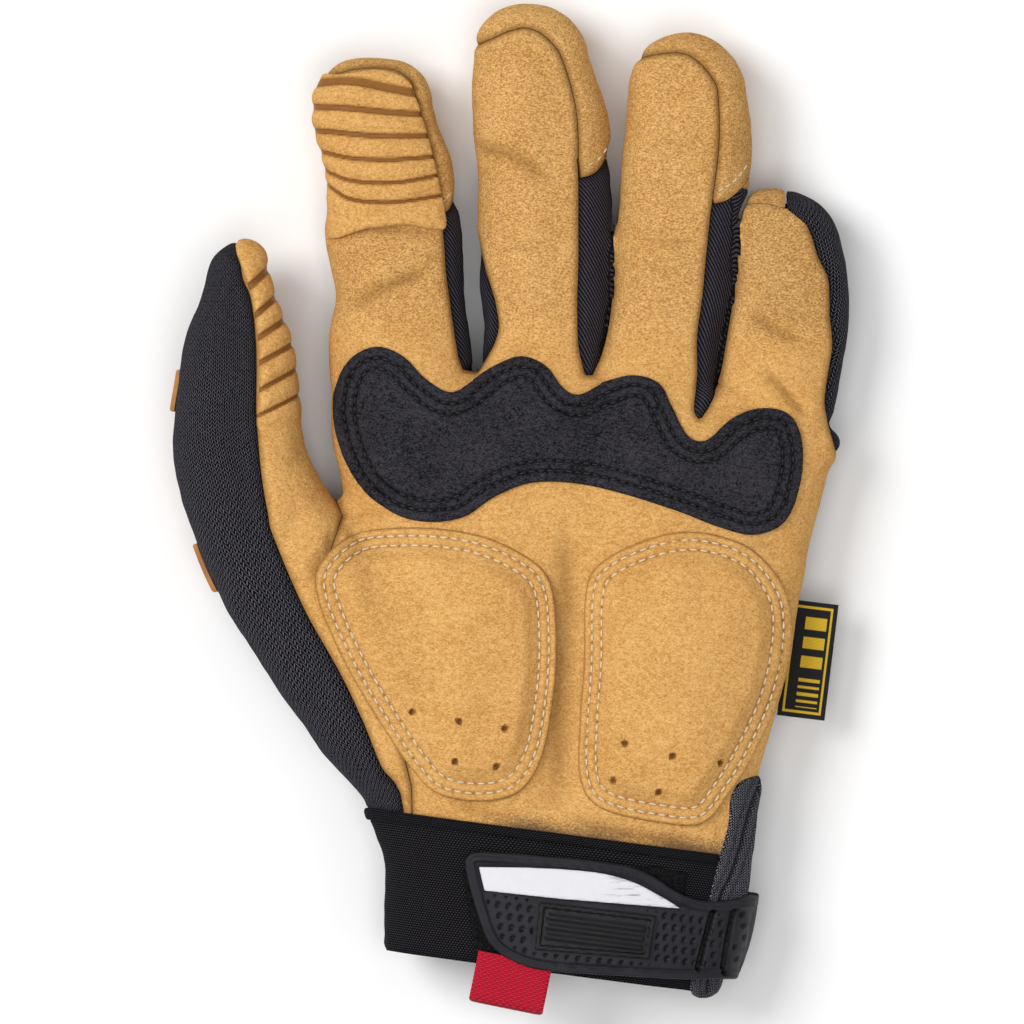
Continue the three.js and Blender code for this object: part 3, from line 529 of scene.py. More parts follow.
def skin(low, high, step, field=glove):
    """Surface net of a field in a box: one point in each cell that the surface crosses, at the
    mean of the crossings on the cell's edges, and two triangles round each crossed edge."""
    low, high = np.array(low, float), np.array(high, float)
    counts = np.ceil((high - low) / step).astype(int) + 1
    x, y, z = (low[k] + step * np.arange(counts[k]) for k in range(3))
    values = field(x[:, None, None], y[None, :, None], z[None, None, :])
    sums = np.zeros((counts.prod(), 3))
    hits = np.zeros(counts.prod())
    quads = []
    for axis in range(3):
        one, two = (axis + 1) % 3, (axis + 2) % 3
        near = np.take(values, np.arange(counts[axis] - 1), axis)
        beyond = np.take(values, np.arange(1, counts[axis]), axis)
        place = np.argwhere((near < 0) != (beyond < 0))
        place = place[(place[:, one] > 0) & (place[:, two] > 0)]
        place = place[(place[:, one] < counts[one] - 1) & (place[:, two] < counts[two] - 1)]
        start = near[tuple(place.T)]
        share = start / (start - beyond[tuple(place.T)])
        crossing = place.astype(float)
        crossing[:, axis] += share
        corners = []
        for back_one, back_two in ((0, 0), (1, 0), (1, 1), (0, 1)):
            cell = place.copy()
            cell[:, one] -= back_one
            cell[:, two] -= back_two
            flat = np.ravel_multi_index(cell.T, counts)
            corners.append(flat)
            hits += np.bincount(flat, minlength=len(hits))
            for k in range(3):
                sums[:, k] += np.bincount(flat, crossing[:, k], len(hits))
        quad = np.stack(corners, 1)
        quads.append(np.where((start < 0)[:, None], quad, quad[:, ::-1]))
    quads = np.concatenate(quads)
    used = np.flatnonzero(hits)
    points = low + step * sums[used] / hits[used][:, None]
    order = np.zeros(len(hits), int)
    order[used] = np.arange(len(used))
    quads = order[quads]
    points, normals = onto(field, points)
    diagonal = np.linalg.norm(points[quads[:, 0]] - points[quads[:, 2]], axis=1)
    other = np.linalg.norm(points[quads[:, 1]] - points[quads[:, 3]], axis=1)
    turned = np.where((diagonal <= other)[:, None], quads, np.roll(quads, -1, 1))
    faces = np.concatenate([turned[:, [0, 1, 2]], turned[:, [0, 2, 3]]])
    return points, normals, faces


def compact(points, normals, faces):
    """Drops the points that no face uses."""
    used = np.unique(faces)
    order = np.zeros(len(points), int)
    order[used] = np.arange(len(used))
    return points[used], normals[used], order[faces]


def clip(points, normals, faces, values):
    """Keeps a skin where the values are above zero. A face across the zero line is cut there,
    at the share of each edge where the value passes zero."""
    values = np.where(np.abs(values) < 1e-4, 1e-4, values)
    keep = values > 0
    count = keep[faces].sum(1)
    mixed = faces[(count == 1) | (count == 2)]
    alone = keep[mixed].sum(1) == 1
    odd = np.where(alone, keep[mixed].argmax(1), (~keep[mixed]).argmax(1))
    a, b, c = np.take_along_axis(mixed, (odd[:, None] + np.arange(3)) % 3, 1).T
    edges = np.sort(np.concatenate([columns(a, b), columns(a, c)]), 1)
    edges, where = np.unique(edges, axis=0, return_inverse=True)
    where = where.ravel() + len(points)
    first, second = values[edges[:, 0]], values[edges[:, 1]]
    share = (first / (first - second))[:, None]
    added = [
        grid[edges[:, 0]] * (1 - share) + grid[edges[:, 1]] * share
        for grid in (points, normals)
    ]
    p, q = where[: len(a)], where[len(a) :]
    cut = [
        columns(a, p, q)[alone],
        columns(p, b, c)[~alone],
        columns(p, c, q)[~alone],
    ]
    return compact(
        np.concatenate([points, added[0]]),
        np.concatenate([normals, added[1]]),
        np.concatenate([faces[count == 3], *cut]),
    )


def thicken(points, normals, faces, top, bottom):
    """A closed sheet between two lifts along the normals: the skin, its lower copy turned
    over, and a rim round the open edges."""
    count = len(points)
    upper = points + normals * np.broadcast_to(top, count)[:, None]
    upper[:, 2] = np.maximum(upper[:, 2], 0)
    lower = points + normals * np.broadcast_to(bottom, count)[:, None]
    start = faces.ravel()
    end = np.roll(faces, -1, 1).ravel()
    edge = ~np.isin(start * count + end, end * count + start)
    a, b = start[edge], end[edge]
    rim = [columns(b, a, a + count), columns(b, a + count, b + count)]
    return (
        np.concatenate([upper, lower]),
        np.concatenate([faces, faces[:, ::-1] + count, *rim]),
    )


SHARP_ANGLE = np.radians(50)


def make(name, points, faces, finish, slot, nodes=(), weave=None, **marks):
    """Puts plan points and faces into a mesh object on the frame's root. weave is the UV map
    in millimetres, and each mark is a number for each point. Where they are given for the
    upper side of a sheet they serve its lower side too."""
    points = (np.asarray(points) + PLAN_SHIFT) / 1000
    faces = np.asarray(faces)
    mesh = bpy.data.meshes.new(name)
    mesh.vertices.add(len(points))
    mesh.vertices.foreach_set("co", points.ravel())
    mesh.loops.add(faces.size)
    mesh.loops.foreach_set("vertex_index", faces.ravel())
    mesh.polygons.add(len(faces))
    mesh.polygons.foreach_set("loop_start", np.arange(0, faces.size, faces.shape[1]))
    mesh.polygons.foreach_set("use_smooth", np.ones(len(faces), bool))
    mesh.update(calc_edges=True)
    mesh.validate()
    for mark, values in marks.items():
        values = np.resize(values, len(points)).astype(np.float32)
        mesh.attributes.new(mark, "FLOAT", "POINT").data.foreach_set("value", values)
    if weave is not None:
        corner = np.zeros(len(mesh.loops), int)
        mesh.loops.foreach_get("vertex_index", corner)
        layer = mesh.uv_layers.new(name="weave")
        weave = np.resize(weave, (len(points), 2))
        layer.data.foreach_set("uv", weave[corner].astype(np.float32).ravel())
    mesh.set_sharp_from_angle(angle=SHARP_ANGLE)
    mesh.materials.append(finish)
    piece = bpy.data.objects.new(name, mesh)
    bpy.context.scene.collection.objects.link(piece)
    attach(piece, "root")
    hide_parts(*nodes)
    return piece


# Finishes


class Finish:
    """One matte material and the nodes that make its colour and bump."""

    def __init__(self, name, roughness, specular=0.15):
        self.material = bpy.data.materials.new(name)
        self.material.use_nodes = True
        self.tree = self.material.node_tree
        self.shader = self.tree.nodes["Principled BSDF"]
        self.shader.inputs["Roughness"].default_value = roughness
        self.shader.inputs["Specular IOR Level"].default_value = specular
        self.place = self.tree.nodes.new("ShaderNodeTexCoord").outputs["Object"]

    def node(self, kind, inputs, output=0, **settings):
        """Adds a node. An input is a number, a colour or another node's output."""
        made = self.tree.nodes.new(kind)
        for key, value in settings.items():
            setattr(made, key, value)
        for key, value in inputs.items():
            if isinstance(value, bpy.types.NodeSocket):
                self.tree.links.new(value, made.inputs[key])
            else:
                made.inputs[key].default_value = value
        return made.outputs[output]

    def math(self, operation, *values):
        return self.node("ShaderNodeMath", dict(enumerate(values)), operation=operation)

    def times(self, one, other):
        return self.math("MULTIPLY", one, other)

    def scaled(self, value, by, plus):
        return self.math("MULTIPLY_ADD", value, by, plus)

    def stretched(self, *scale, turn=0.0):
        """Object coordinates turned about z and scaled on each axis."""
        inputs = {"Vector": self.place, "Rotation": (0, 0, turn), "Scale": scale}
        return self.node("ShaderNodeMapping", inputs)

    def noise(self, size, detail=2.0, rough=0.6, at=None):
        """Noise with features of about that many millimetres."""
        inputs = {"Vector": at or self.place, "Scale": 1000 / size, "Detail": detail}
        inputs["Roughness"] = rough
        return self.node("ShaderNodeTexNoise", inputs)

    def spread(self, value, low, high, start=0.0, end=1.0):
        """Maps low..high to start..end."""
        inputs = {"Value": value, "From Min": low, "From Max": high}
        inputs.update({"To Min": start, "To Max": end})
        return self.node("ShaderNodeMapRange", inputs)

    def mix(self, share, one, other):
        """Mixes two colours."""
        one, other = (
            each if isinstance(each, bpy.types.NodeSocket) else (*each[:3], 1)
            for each in (one, other)
        )
        return self.node("ShaderNodeMix", {0: share, 6: one, 7: other}, 2, data_type="RGBA")

    def shades(self, value, low, high, dark, light):
        """The dark colour where the value is low and the light one where it is high."""
        return self.mix(self.spread(value, low, high), dark, light)

    def creased(self, colour, dark=(0.002, 0.002, 0.003)):
        """Darkens a colour by the crease mark, which is painted shade in folds, seams, stitch
        rows, holes, pits and slots.
        """
        return self.mix(self.mark("crease"), colour, dark)

    def mark(self, name):
        return self.node("ShaderNodeAttribute", {}, "Fac", attribute_name=name)

    def threads(self):
        """The two coordinates of the weave map, in millimetres."""
        coordinates = self.node("ShaderNodeUVMap", {}, uv_map="weave")
        split = self.node("ShaderNodeSeparateXYZ", {0: coordinates}).node
        return split.outputs[0], split.outputs[1]

    def wave(self, value, pitch, shift=0.0):
        """A sine wave from 0 to 1 with that pitch in millimetres."""
        turn = self.scaled(value, 2 * np.pi / pitch, shift)
        return self.scaled(self.math("SINE", turn), 0.5, 0.5)

    def done(self, colour, height=None, depth=0.3, strength=1.0, roughness=None):
        """Links the colour, the bump of that depth in millimetres and the roughness."""
        self.tree.links.new(colour, self.shader.inputs["Base Color"])
        if height is not None:
            bump = self.node(
                "ShaderNodeBump",
                {"Strength": strength, "Distance": depth / 1000, "Height": height},
            )
            self.tree.links.new(bump, self.shader.inputs["Normal"])
        if roughness is not None:
            self.tree.links.new(roughness, self.shader.inputs["Roughness"])
        return self.material


def dimmed(colour, share):
    """A share of a colour."""
    return tuple(share * part for part in colour[:3])


def suede(name, light, dark, darkening_brown, speck=0.36, contrast=1.12, pressed=None):
    """Brushed suede: fine specks drawn out by the nap, over pebbles and soft patches. Unpressed,
    it turns dark brown in specks where the wear mark is set, which on the fingers is painted
    shade, and the crease mark darkens it as painted shade in folds, seams and pits. Where it is
    pressed it turns brown and shines."""
    finish = Finish(name, 0.95, 0.07)
    nap = finish.stretched(0.62, 1, 1, turn=0.25)
    specks = finish.noise(speck, 2, 0.7, nap)
    grain = finish.noise(speck * 2.8, 2, 0.55, nap)
    patches = finish.noise(13, 4, 0.62)
    both = finish.scaled(specks, 0.64, finish.times(grain, 0.26))
    both = finish.scaled(patches, 0.18, both)
    low, high = 0.54 - 0.15 / contrast, 0.54 + 0.15 / contrast
    colour = finish.shades(both, low, high, dark, light)
    height = finish.scaled(specks, 0.55, grain)
    groove = finish.mark("crease")
    if pressed is None:
        # Darker in specks where the wear mark is set: a band above the cuff, and painted shade on
        # the fingers
        darkening_share = finish.scaled(specks, -0.8, finish.mark("worn"))
        colour = finish.shades(darkening_share, -0.2, 0.3, colour, darkening_brown)
        return finish.done(finish.creased(colour, dimmed(dark, 0.38)), height, 0.3, 0.7)
    height = finish.times(height, finish.scaled(groove, -0.8, 1))
    roughness = finish.spread(groove, 0.2, 1, 0.95, 0.38)
    pressed = finish.mix(finish.noise(1.5, 3), pressed, dimmed(pressed, 0.72))
    colour = finish.shades(groove, 0.1, 0.9, colour, pressed)
    return finish.done(colour, height, 0.3, 0.7, roughness)


def knit(name, light, dark, wale=1.5, course=0.92, slant=0.8):
    """Stretch knit: columns of slanting loops that meet in chevrons."""
    finish = Finish(name, 0.9, 0.06)
    across, along = finish.threads()
    drift = finish.spread(finish.noise(9, 2), 0.3, 0.7, -0.3, 0.3)
    column = finish.math("PINGPONG", finish.math("ADD", across, drift), wale / 2)
    bent = finish.scaled(column, slant * 2, along)
    loops = finish.wave(bent, course)
    rib = finish.times(column, 2 / wale)
    rib = finish.math("SINE", finish.times(rib, np.pi))
    height = finish.times(loops, finish.scaled(rib, 0.75, 0.25))
    fuzz = finish.noise(0.55, 2)
    share = finish.scaled(fuzz, 1.6, finish.scaled(height, 1.9, -1.35))
    colour = finish.shades(share, 0, 1, dark, light)
    return finish.done(finish.creased(colour), height, 0.35, 0.9)


def twill(name, light, dark, pitch=0.8):
    """Twill: steep diagonal ridges cut across by the other thread."""
    finish = Finish(name, 0.85, 0.06)
    across, along = finish.threads()
    slanted = finish.scaled(along, 0.6, across)
    ridge = finish.wave(slanted, pitch)
    cross = finish.wave(finish.scaled(across, -0.35, along), pitch * 0.62)
    height = finish.times(ridge, finish.scaled(cross, 0.6, 0.4))
    fuzz = finish.noise(0.35, 2)
    share = finish.scaled(fuzz, 0.6, finish.scaled(height, 1.0, -0.4))
    colour = finish.shades(share, 0, 1, dark, light)
    return finish.done(finish.creased(colour), height, 0.3, 0.9)


def elastic(name, light, dark, pitch=0.55):
    """Woven elastic: short bars in rows that are shifted by half a bar."""
    finish = Finish(name, 0.8, 0.06)
    across, along = finish.threads()
    row = finish.math("FLOOR", finish.math("DIVIDE", along, pitch))
    moved = finish.scaled(row, pitch * 0.75, across)
    bars = finish.wave(moved, pitch * 1.5)
    rows = finish.wave(along, pitch, -np.pi / 2)
    height = finish.times(bars, rows)
    share = finish.scaled(finish.noise(0.4, 2), 0.5, height)
    colour = finish.shades(share, 0.3, 1.0, dark, light)
    return finish.done(finish.creased(colour), height, 0.2, 0.8)


def rubber(name, light, dark, specular=0.16):
    """Moulded rubber: fine grain and a faint bloom."""
    finish = Finish(name, 0.55, specular)
    grain = finish.noise(0.35, 2)
    bloom = finish.noise(5, 4)
    colour = finish.shades(bloom, 0.35, 0.7, dark, light)
    roughness = finish.spread(finish.noise(2.5, 3), 0.3, 0.7, 0.42, 0.62)
    return finish.done(finish.creased(colour), grain, 0.06, 0.5, roughness)


def pile(name, light, dark):
    """Loop pile: a tangle of short fibres with lint on it."""
    finish = Finish(name, 0.95, 0.06)
    fibres = finish.noise(0.6, 4, 0.8)
    lint = finish.spread(finish.noise(0.8, 3, 0.8), 0.62, 0.74)
    colour = finish.shades(fibres, 0.38, 0.66, dark, light)
    colour = finish.mix(lint, colour, dimmed(light, 3))
    return finish.done(colour, fibres, 0.5, 1.0)


def webbing(name, light, dark, across_pitch, along_pitch):
    """Basket weave: round bumps in rows that are shifted by half a bump."""
    finish = Finish(name, 0.55, 0.18)
    across, along = finish.threads()
    row = finish.math("FLOOR", finish.math("DIVIDE", along, along_pitch / 2))
    moved = finish.scaled(row, across_pitch / 2, across)
    bumps = finish.times(finish.wave(moved, across_pitch),
                        finish.wave(along, along_pitch / 2, -np.pi / 2))
    threads = finish.wave(along, 0.25)
    share = finish.scaled(threads, 0.12, bumps)
    share = finish.scaled(finish.noise(0.5, 2), 0.3, share)
    colour = finish.shades(share, 0.1, 0.95, dark, light)
    return finish.done(finish.creased(colour, (0.1, 0.0, 0.004)), share, 0.4, 1.0)


def tape(name, light, dark):
    """Reflective tape: a fine even grain with faint scratches."""
    finish = Finish(name, 0.45, 0.3)
    drawn = finish.stretched(0.12, 1, 1, turn=0.9)
    scratches = finish.spread(finish.noise(0.9, 3, 0.7, drawn), 0.52, 0.68)
    worn = finish.times(scratches, finish.mark("worn"))
    colour = finish.mix(finish.noise(2, 3), light, dimmed(light, 0.9))
    colour = finish.mix(worn, colour, dark)
    return finish.done(colour, finish.noise(0.25, 1), 0.04, 0.5)


def thread(name, light, dark):
    """Sewing thread: twisted strands."""
    finish = Finish(name, 0.6, 0.3)
    strands = finish.noise(0.3, 2)
    colour = finish.shades(strands, 0.35, 0.65, dark, light)
    return finish.done(colour, strands, 0.08, 0.6)


def woven_label(name, ground, ink):
    """Woven label: fine ribs, in two thread colours set by a mark."""
    finish = Finish(name, 0.65, 0.25)
    across, along = finish.threads()
    ribs = finish.wave(along, 0.34)
    colour = finish.mix(finish.mark("ink"), ground, ink)
    colour = finish.mix(finish.times(ribs, 0.35), colour, (0, 0, 0))
    height = finish.scaled(finish.wave(across, 0.4), 0.4, ribs)
    return finish.done(colour, height, 0.1, 0.8)


# Seams of the shell, as shares of the fingers' lengths and widths


def palm(across, up):
    return (across * PALM_WIDTH, up * PALM_LENGTH)


def cuff(*shares):
    """Plan points at shares of the cuff's width from its middle and of its height down from
    its top edge, which slopes with the cuff."""
    shares = np.array(shares, float)
    x = 0.008 * PALM_WIDTH + shares[:, 0] * CUFF_WIDTH
    return columns(x, -CUFF_DROP - np.tan(CUFF_TILT) * x - shares[:, 1] * CUFF_HEIGHT)


# For each cap: its arched seam, the height of its hem behind, and its hem in the photograph
CAPS = {
    "index": (
        [
            (0.955, -0.5), (0.975, -0.2), (0.98, 0.1), (0.955, 0.31), (0.89, 0.39),
            (0.79, 0.38), (0.66, 0.39),
        ],
        0.695,
        [(446, 214), (452, 208), (456, 201), (462, 186), (490, 150)],
    ),
    "middle": (
        [
            (0.92, -0.5), (0.95, -0.16), (0.95, 0), (0.93, 0.15), (0.89, 0.27), (0.8, 0.28),
            (0.67, 0.27),
        ],
        0.715,
        [(582, 178), (593.5, 175), (602, 168.5), (607.5, 161), (613, 148), (640, 110)],
    ),
    "ring": (
        [
            (0.945, -0.5), (0.96, -0.15), (0.95, 0.04), (0.91, 0.2), (0.87, 0.26),
            (0.76, 0.25), (0.635, 0.25),
        ],
        0.685,
        [(713, 205), (725, 202), (738, 192), (747, 180), (756, 164), (780, 120)],
    ),
}
# The cap of the little finger, which is its whole tip down to a straight seam
LITTLE_CAP = [(0.955, -0.6), (0.96, -0.2), (0.95, -0.03), (PAST_TIP, -0.06), (PAST_TIP, -0.6)]
# For each fork: the seam down the finger before it, its lowest pixel and the seam up the next
STRIPS = {
    ("index", "middle"): (
        [(0.7, 0.39), (0.64, 0.38), (0.54, 0.38), (0.46, 0.41), (0.36, 0.42)],
        (465, 369),
        [
            (0.285, -0.55), (0.32, -0.47), (0.37, -0.41), (0.43, -0.42), (0.48, -0.47),
            (0.55, -0.53),
        ],
    ),
    ("middle", "ring"): (
        [(0.7, 0.26), (0.65, 0.26), (0.51, 0.25), (0.41, 0.26), (0.34, 0.29)],
        (587, 374),
        [(0.3, -0.52), (0.34, -0.48), (0.44, -0.49), (0.52, -0.49), (0.58, -0.54)],
    ),
    ("ring", "little"): (
        [
            (0.68, 0.25), (0.62, 0.25), (0.54, 0.26), (0.46, 0.27), (0.38, 0.31), (0.3, 0.36),
            (0.23, 0.35),
        ],
        (700, 419),
        [(0.4, -0.52), (0.45, -0.475), (0.6, -0.475), (0.78, -0.47), (0.85, -0.53)],
    ),
}
# The little finger's outer seam, and the thumb's seam between its leather and its knit
OUTER_SEAM = [
    (0.29, 0.6), (0.38, 0.48), (0.44, 0.42), (0.567, 0.41), (0.655, 0.36), (0.755, 0.34),
    (0.813, 0.27), (0.89, 0.2), (0.922, 0.1), (0.948, -0.01),
]
THUMB_SEAM = [
    (0.06, -0.17), (0.15, -0.1), (0.23, -0.08), (0.34, -0.08), (0.47, -0.03), (0.51, 0.02),
    (0.59, 0.12), (0.69, 0.17), (0.82, 0.19), (0.9, 0.2), (0.95, 0.08), (1.1, 0),
]
# The seam round the thumb's root, from the index finger down to past the hem
THUMB_ROOT = [
    palm(-0.46, 0.8), palm(-0.436, 0.735), palm(-0.456, 0.66), palm(-0.456, 0.56),
    palm(-0.424, 0.443), palm(-0.373, 0.326), palm(-0.323, 0.221), palm(-0.3, 0.1),
    palm(-0.296, -0.3),
]

# The pads and the patch: their middles, sizes and outlines, and the pads' vent holes
THENAR_CENTRE = palm(-0.251, 0.386)
THENAR_SIZE = (57.8, 65.3)
THENAR_OUTLINE = [
    (-0.342, 0.474), (-0.12, 0.502), (0.15, 0.48), (0.36, 0.405), (0.475, 0.3), (0.502, 0.08),
    (0.485, -0.14), (0.44, -0.34), (0.346, -0.465), (0.19, -0.5), (0.01, -0.47), (-0.11, -0.364),
    (-0.276, -0.147), (-0.413, 0.077), (-0.495, 0.27), (-0.47, 0.38),
]
THENAR_VENTS = [(-0.1, -0.173), (0.1, -0.206), (0.284, -0.232), (0.081, -0.353), (0.251, -0.371)]
HEEL_CENTRE = palm(0.248, 0.352)
HEEL_SIZE = (50.4, 70)
HEEL_OUTLINE = [
    (0.08, 0.502), (-0.148, 0.483), (-0.38, 0.405), (-0.462, 0.305), (-0.472, 0.055),
    (-0.493, -0.154), (-0.49, -0.345), (-0.39, -0.442), (-0.119, -0.49), (0.09, -0.492),
    (0.219, -0.384), (0.329, -0.247), (0.443, -0.058), (0.5, 0.161), (0.468, 0.315),
    (0.319, 0.445),
]
HEEL_VENTS = [
    (-0.271, -0.219), (-0.057, -0.26), (0.167, -0.284), (-0.329, -0.346), (-0.119, -0.384),
]
PATCH_CENTRE = palm(0.018, 0.908)
PATCH_SIZE = (111.8, 45.4)
PATCH_OUTLINE = [
    (-0.497, 0.25), (-0.47, 0.42), (-0.412, 0.492), (-0.355, 0.44), (-0.31, 0.325),
    (-0.255, 0.246), (-0.2, 0.31), (-0.15, 0.4), (-0.1, 0.442), (-0.05, 0.39), (-0.015, 0.275),
    (0.02, 0.236), (0.075, 0.294), (0.137, 0.341), (0.191, 0.299), (0.222, 0.161),
    (0.253, 0.022), (0.294, -0.003), (0.35, 0.11), (0.42, 0.167), (0.477, 0.12), (0.5, -0.06),
    (0.488, -0.28), (0.455, -0.44), (0.395, -0.5), (0.325, -0.462), (0.23, -0.373),
    (0.122, -0.288), (0.02, -0.23), (-0.08, -0.225), (-0.16, -0.3), (-0.225, -0.405),
    (-0.3, -0.432), (-0.375, -0.385), (-0.452, -0.22), (-0.492, 0.03),
]


def placed(shares, centre, size):
    """Closed plan curve through shares of a size round a centre."""
    return spline(np.array(shares) * size + centre)


THENAR = placed(THENAR_OUTLINE, THENAR_CENTRE, THENAR_SIZE)
HEEL = placed(HEEL_OUTLINE, HEEL_CENTRE, HEEL_SIZE)
PATCH = placed(PATCH_OUTLINE, PATCH_CENTRE, PATCH_SIZE)
# The binding that frames the slit in the cuff
BINDING = spline(
    [
        palm(0.372, 0.12), palm(0.345, 0.08), palm(0.338, 0.01), palm(0.312, -0.1),
        palm(0.285, -0.24), palm(0.262, -0.372), palm(0.312, -0.376), palm(0.345, -0.25),
        palm(0.4, -0.1), palm(0.44, 0.04), palm(0.43, 0.12),
    ]
)

# Folds that show in the leather: their path in the photograph, depth and width in millimetres
FOLDS = [
    ([(310, 247), (336, 237), (360, 231), (395, 230), (425, 232), (455, 240)], 1.3, 1.9),
    ([(340, 312), (356, 304), (382, 291), (408, 281), (440, 270)], 1.25, 1.7),
    ([(460, 154), (486, 153), (510, 158), (532, 168), (560, 186)], 1.15, 1.7),
    ([(500, 246), (528, 249), (556, 245)], 0.35, 2.2),
    ([(500, 349), (522, 351), (545, 349)], 0.4, 2.4),
    ([(636, 236), (666, 243), (702, 240)], 0.4, 2.2),
    ([(640, 150), (668, 143), (700, 152)], 0.35, 2.2),
    ([(742, 309), (762, 322), (786, 336), (812, 343)], 1.1, 1.6),
    ([(758, 368), (780, 386), (800, 408), (807, 424)], 1.05, 1.6),
    ([(350, 519), (368, 514), (388, 512)], 0.6, 1.6),
    ([(372, 520), (402, 507), (440, 512)], 0.3, 2.4),
    ([(331, 521), (330, 546), (320, 563), (312, 588)], 0.9, 1.5),
    ([(560, 500), (566, 600), (562, 690), (556, 830)], 1.2, 4.5),
    ([(556, 812), (600, 826), (660, 838), (712, 842)], 0.9, 2.6),
    ([(452, 798), (478, 812), (520, 818)], 0.5, 2.2),
    ([(724, 560), (760, 545), (792, 552)], 0.3, 2.4),
    ([(262, 560), (282, 540), (300, 500)], 0.4, 2.6),
    ([(286, 470), (300, 455), (316, 448)], 0.35, 2.2),
    ([(745, 470), (735, 440), (712, 424)], 0.3, 2.2),
]


def folds(points, normals):
    """Depth of the folds at each point and the painted shade that darkens them: across its path
    each fold is a narrow bell with soft swells beside it, and it fades at its ends."""
    x, y = points[:, 0], points[:, 1]
    facing = ease(normals[:, 2], 0.1, 0.6)
    lift = np.zeros(len(points))
    dark = np.zeros(len(points))
    for path, depth, width in FOLDS:
        apart, along = beside(photo_line(path), x, y)
        fade = ease(along, 0, 0.25) * ease(1 - along, 0, 0.25) * facing
        swell = bell(apart - 2 * width, 1.2 * width)
        lift += fade * depth * (0.35 * swell - bell(apart, width))
        # Painted shade along the bottom of each fold
        dark = np.maximum(dark, fade * min(1, depth) * 0.5 * bell(apart, 0.55 * width))
    return lift, dark


def cuff_line(x, y):
    """Distance below the cuff's sloping top edge."""
    return (-CUFF_DROP - np.tan(CUFF_TILT) * x - y) * np.cos(CUFF_TILT)


def panels(points):
    """How far each point of the shell lies inside each panel. A panel takes what its outline
    holds and no earlier panel has, and the palm takes the rest."""
    x, y, z = points.T
    apart = {name: tube.reach(x, y, z) for name, tube in FINGERS.items()}
    names = list(apart)
    nearest = np.argmin(list(apart.values()), 0)
    upper = ease(z, SEAM_HEIGHT - 0.4, SEAM_HEIGHT + 0.4)
    above = z - SEAM_HEIGHT
    zones = {"cuff_band": cuff_line(x, y)}
    for name, (arch, hem, front_hem) in CAPS.items():
        tube = FINGERS[name]
        arched = spline(tube.plan(*arch), closed=False)
        round_tip = tube.plan((PAST_TIP, 0.9), (PAST_TIP, -0.9), (arch[0][0], -0.9))
        front = inside(np.vstack([arched[:-1], photo_line(front_hem), round_tip]), x, y)
        back = inside(tube.plan((hem, -0.9), (hem, 0.9), (PAST_TIP, 0.9), (PAST_TIP, -0.9)), x, y)
        zone = back + (front - back) * upper
        zones[name + "_tip_cap"] = np.where(nearest == names.index(name), zone, OUTSIDE)
    little = np.minimum(inside(LITTLE.plan(*LITTLE_CAP), x, y), above)
    zones["little_tip_cap"] = np.where(nearest == names.index("little"), little, OUTSIDE)
    beside_index = INDEX.plan((PAST_TIP, -0.62), (0.54, -0.62), (0.26, -0.62))
    root = np.vstack([beside_index, THUMB_ROOT])
    seam = np.vstack([palm(-0.316, -0.3), palm(-0.318, 0.05), THUMB.plan(*THUMB_SEAM)])
    front = np.vstack([spline(seam, closed=False), root])
    zones["thumb_front"] = np.minimum(inside(front, x, y), above)
    whole = np.vstack([palm(-1, -0.3), THUMB.plan((PAST_TIP, -1.5)), root])
    zones["thumb_back"] = inside(whole, x, y)
    for (one, other), (down, fork, up) in STRIPS.items():
        fork = pixels(fork)
        out = np.array([40, 0])
        down = spline(np.vstack([FINGERS[one].plan(*down), fork]), closed=False)
        up = spline(np.vstack([fork, FINGERS[other].plan(*up)]), closed=False)
        right_of = inside(np.vstack([down, fork + out, down[0] + out]), x, y)
        left_of = inside(np.vstack([up, up[-1] - out, fork - out]), x, y)
        low_part = np.maximum(left_of, y - fork[0, 1] - 15)
        right_of = np.minimum(right_of, low_part)
        zone = np.where(nearest == names.index(one), right_of, OUTSIDE)
        zone = np.where(nearest == names.index(other), left_of, zone)
        zones[one + "_side_strip"] = np.minimum(zone, above)
    seam = spline(LITTLE.plan(*OUTER_SEAM), closed=False)
    outer = np.vstack([seam, LITTLE.plan((PAST_TIP, -0.06), (PAST_TIP, 2), (0.29, 2))])
    zones["back_panel"] = np.maximum(-above, inside(outer, x, y))
    taken = np.full(len(points), OUTSIDE)
    for name, zone in zones.items():
        zones[name] = np.minimum(zone, -taken)
        taken = np.maximum(taken, zone)
    zones["palm_panel"] = -taken
    above_hem = CUFF_HEIGHT * np.cos(CUFF_TILT) - cuff_line(x, y)
    zones["cuff_band"] = np.minimum(zones["cuff_band"], above_hem)
    return zones


def weave_of(name, points):
    """Coordinates of the cloth's weave in millimetres. Round the thumb and the little finger
    the first one is the angle times the radius, and elsewhere it is x plus the height."""
    x, y, z = points.T
    if name.endswith("side_strip"):
        one, other = next(pair for pair in STRIPS if name.startswith(pair[0]))
        first, second = (FINGERS[each].section(y)[:2] for each in (one, other))
        turn = np.arctan2(x - first[0], z - first[1])
        turn_back = np.arctan2(x - second[0], z - second[1])
        nearer = x - first[0] < second[0] - x
        return columns(13 * np.where(nearer, turn, turn_back), y)
    if name.startswith("thumb"):
        middle, height = THUMB.section(np.minimum(y, 120))[:2]
        angle = np.arctan2(z - height, middle - x)
        lean = (THUMB.tip_side - THUMB.root[0]) * ease(y, 0, 95)
        return columns(angle * 17, y + 0.25 * lean)
    if name == "back_panel":
        middle, height = LITTLE.section(y)[:2]
        angle = np.arctan2(x - middle, height - z)
        share = ease(y, 66, 78) * ease(x, 34, 44)
        return columns(x + (middle + 12 * angle - x) * share, y)
    if name == "cuff_band":
        drop = np.sign(x) * (27 - z) * ease(np.abs(x), 6, 26)
        return columns(x + drop, -cuff_line(x, y))
    return columns(x + z, y)


# Stitches

# The height from which a point steps down to the skin, and its number of steps
ABOVE_GLOVE = 48.0
DROP_STEPS = 40


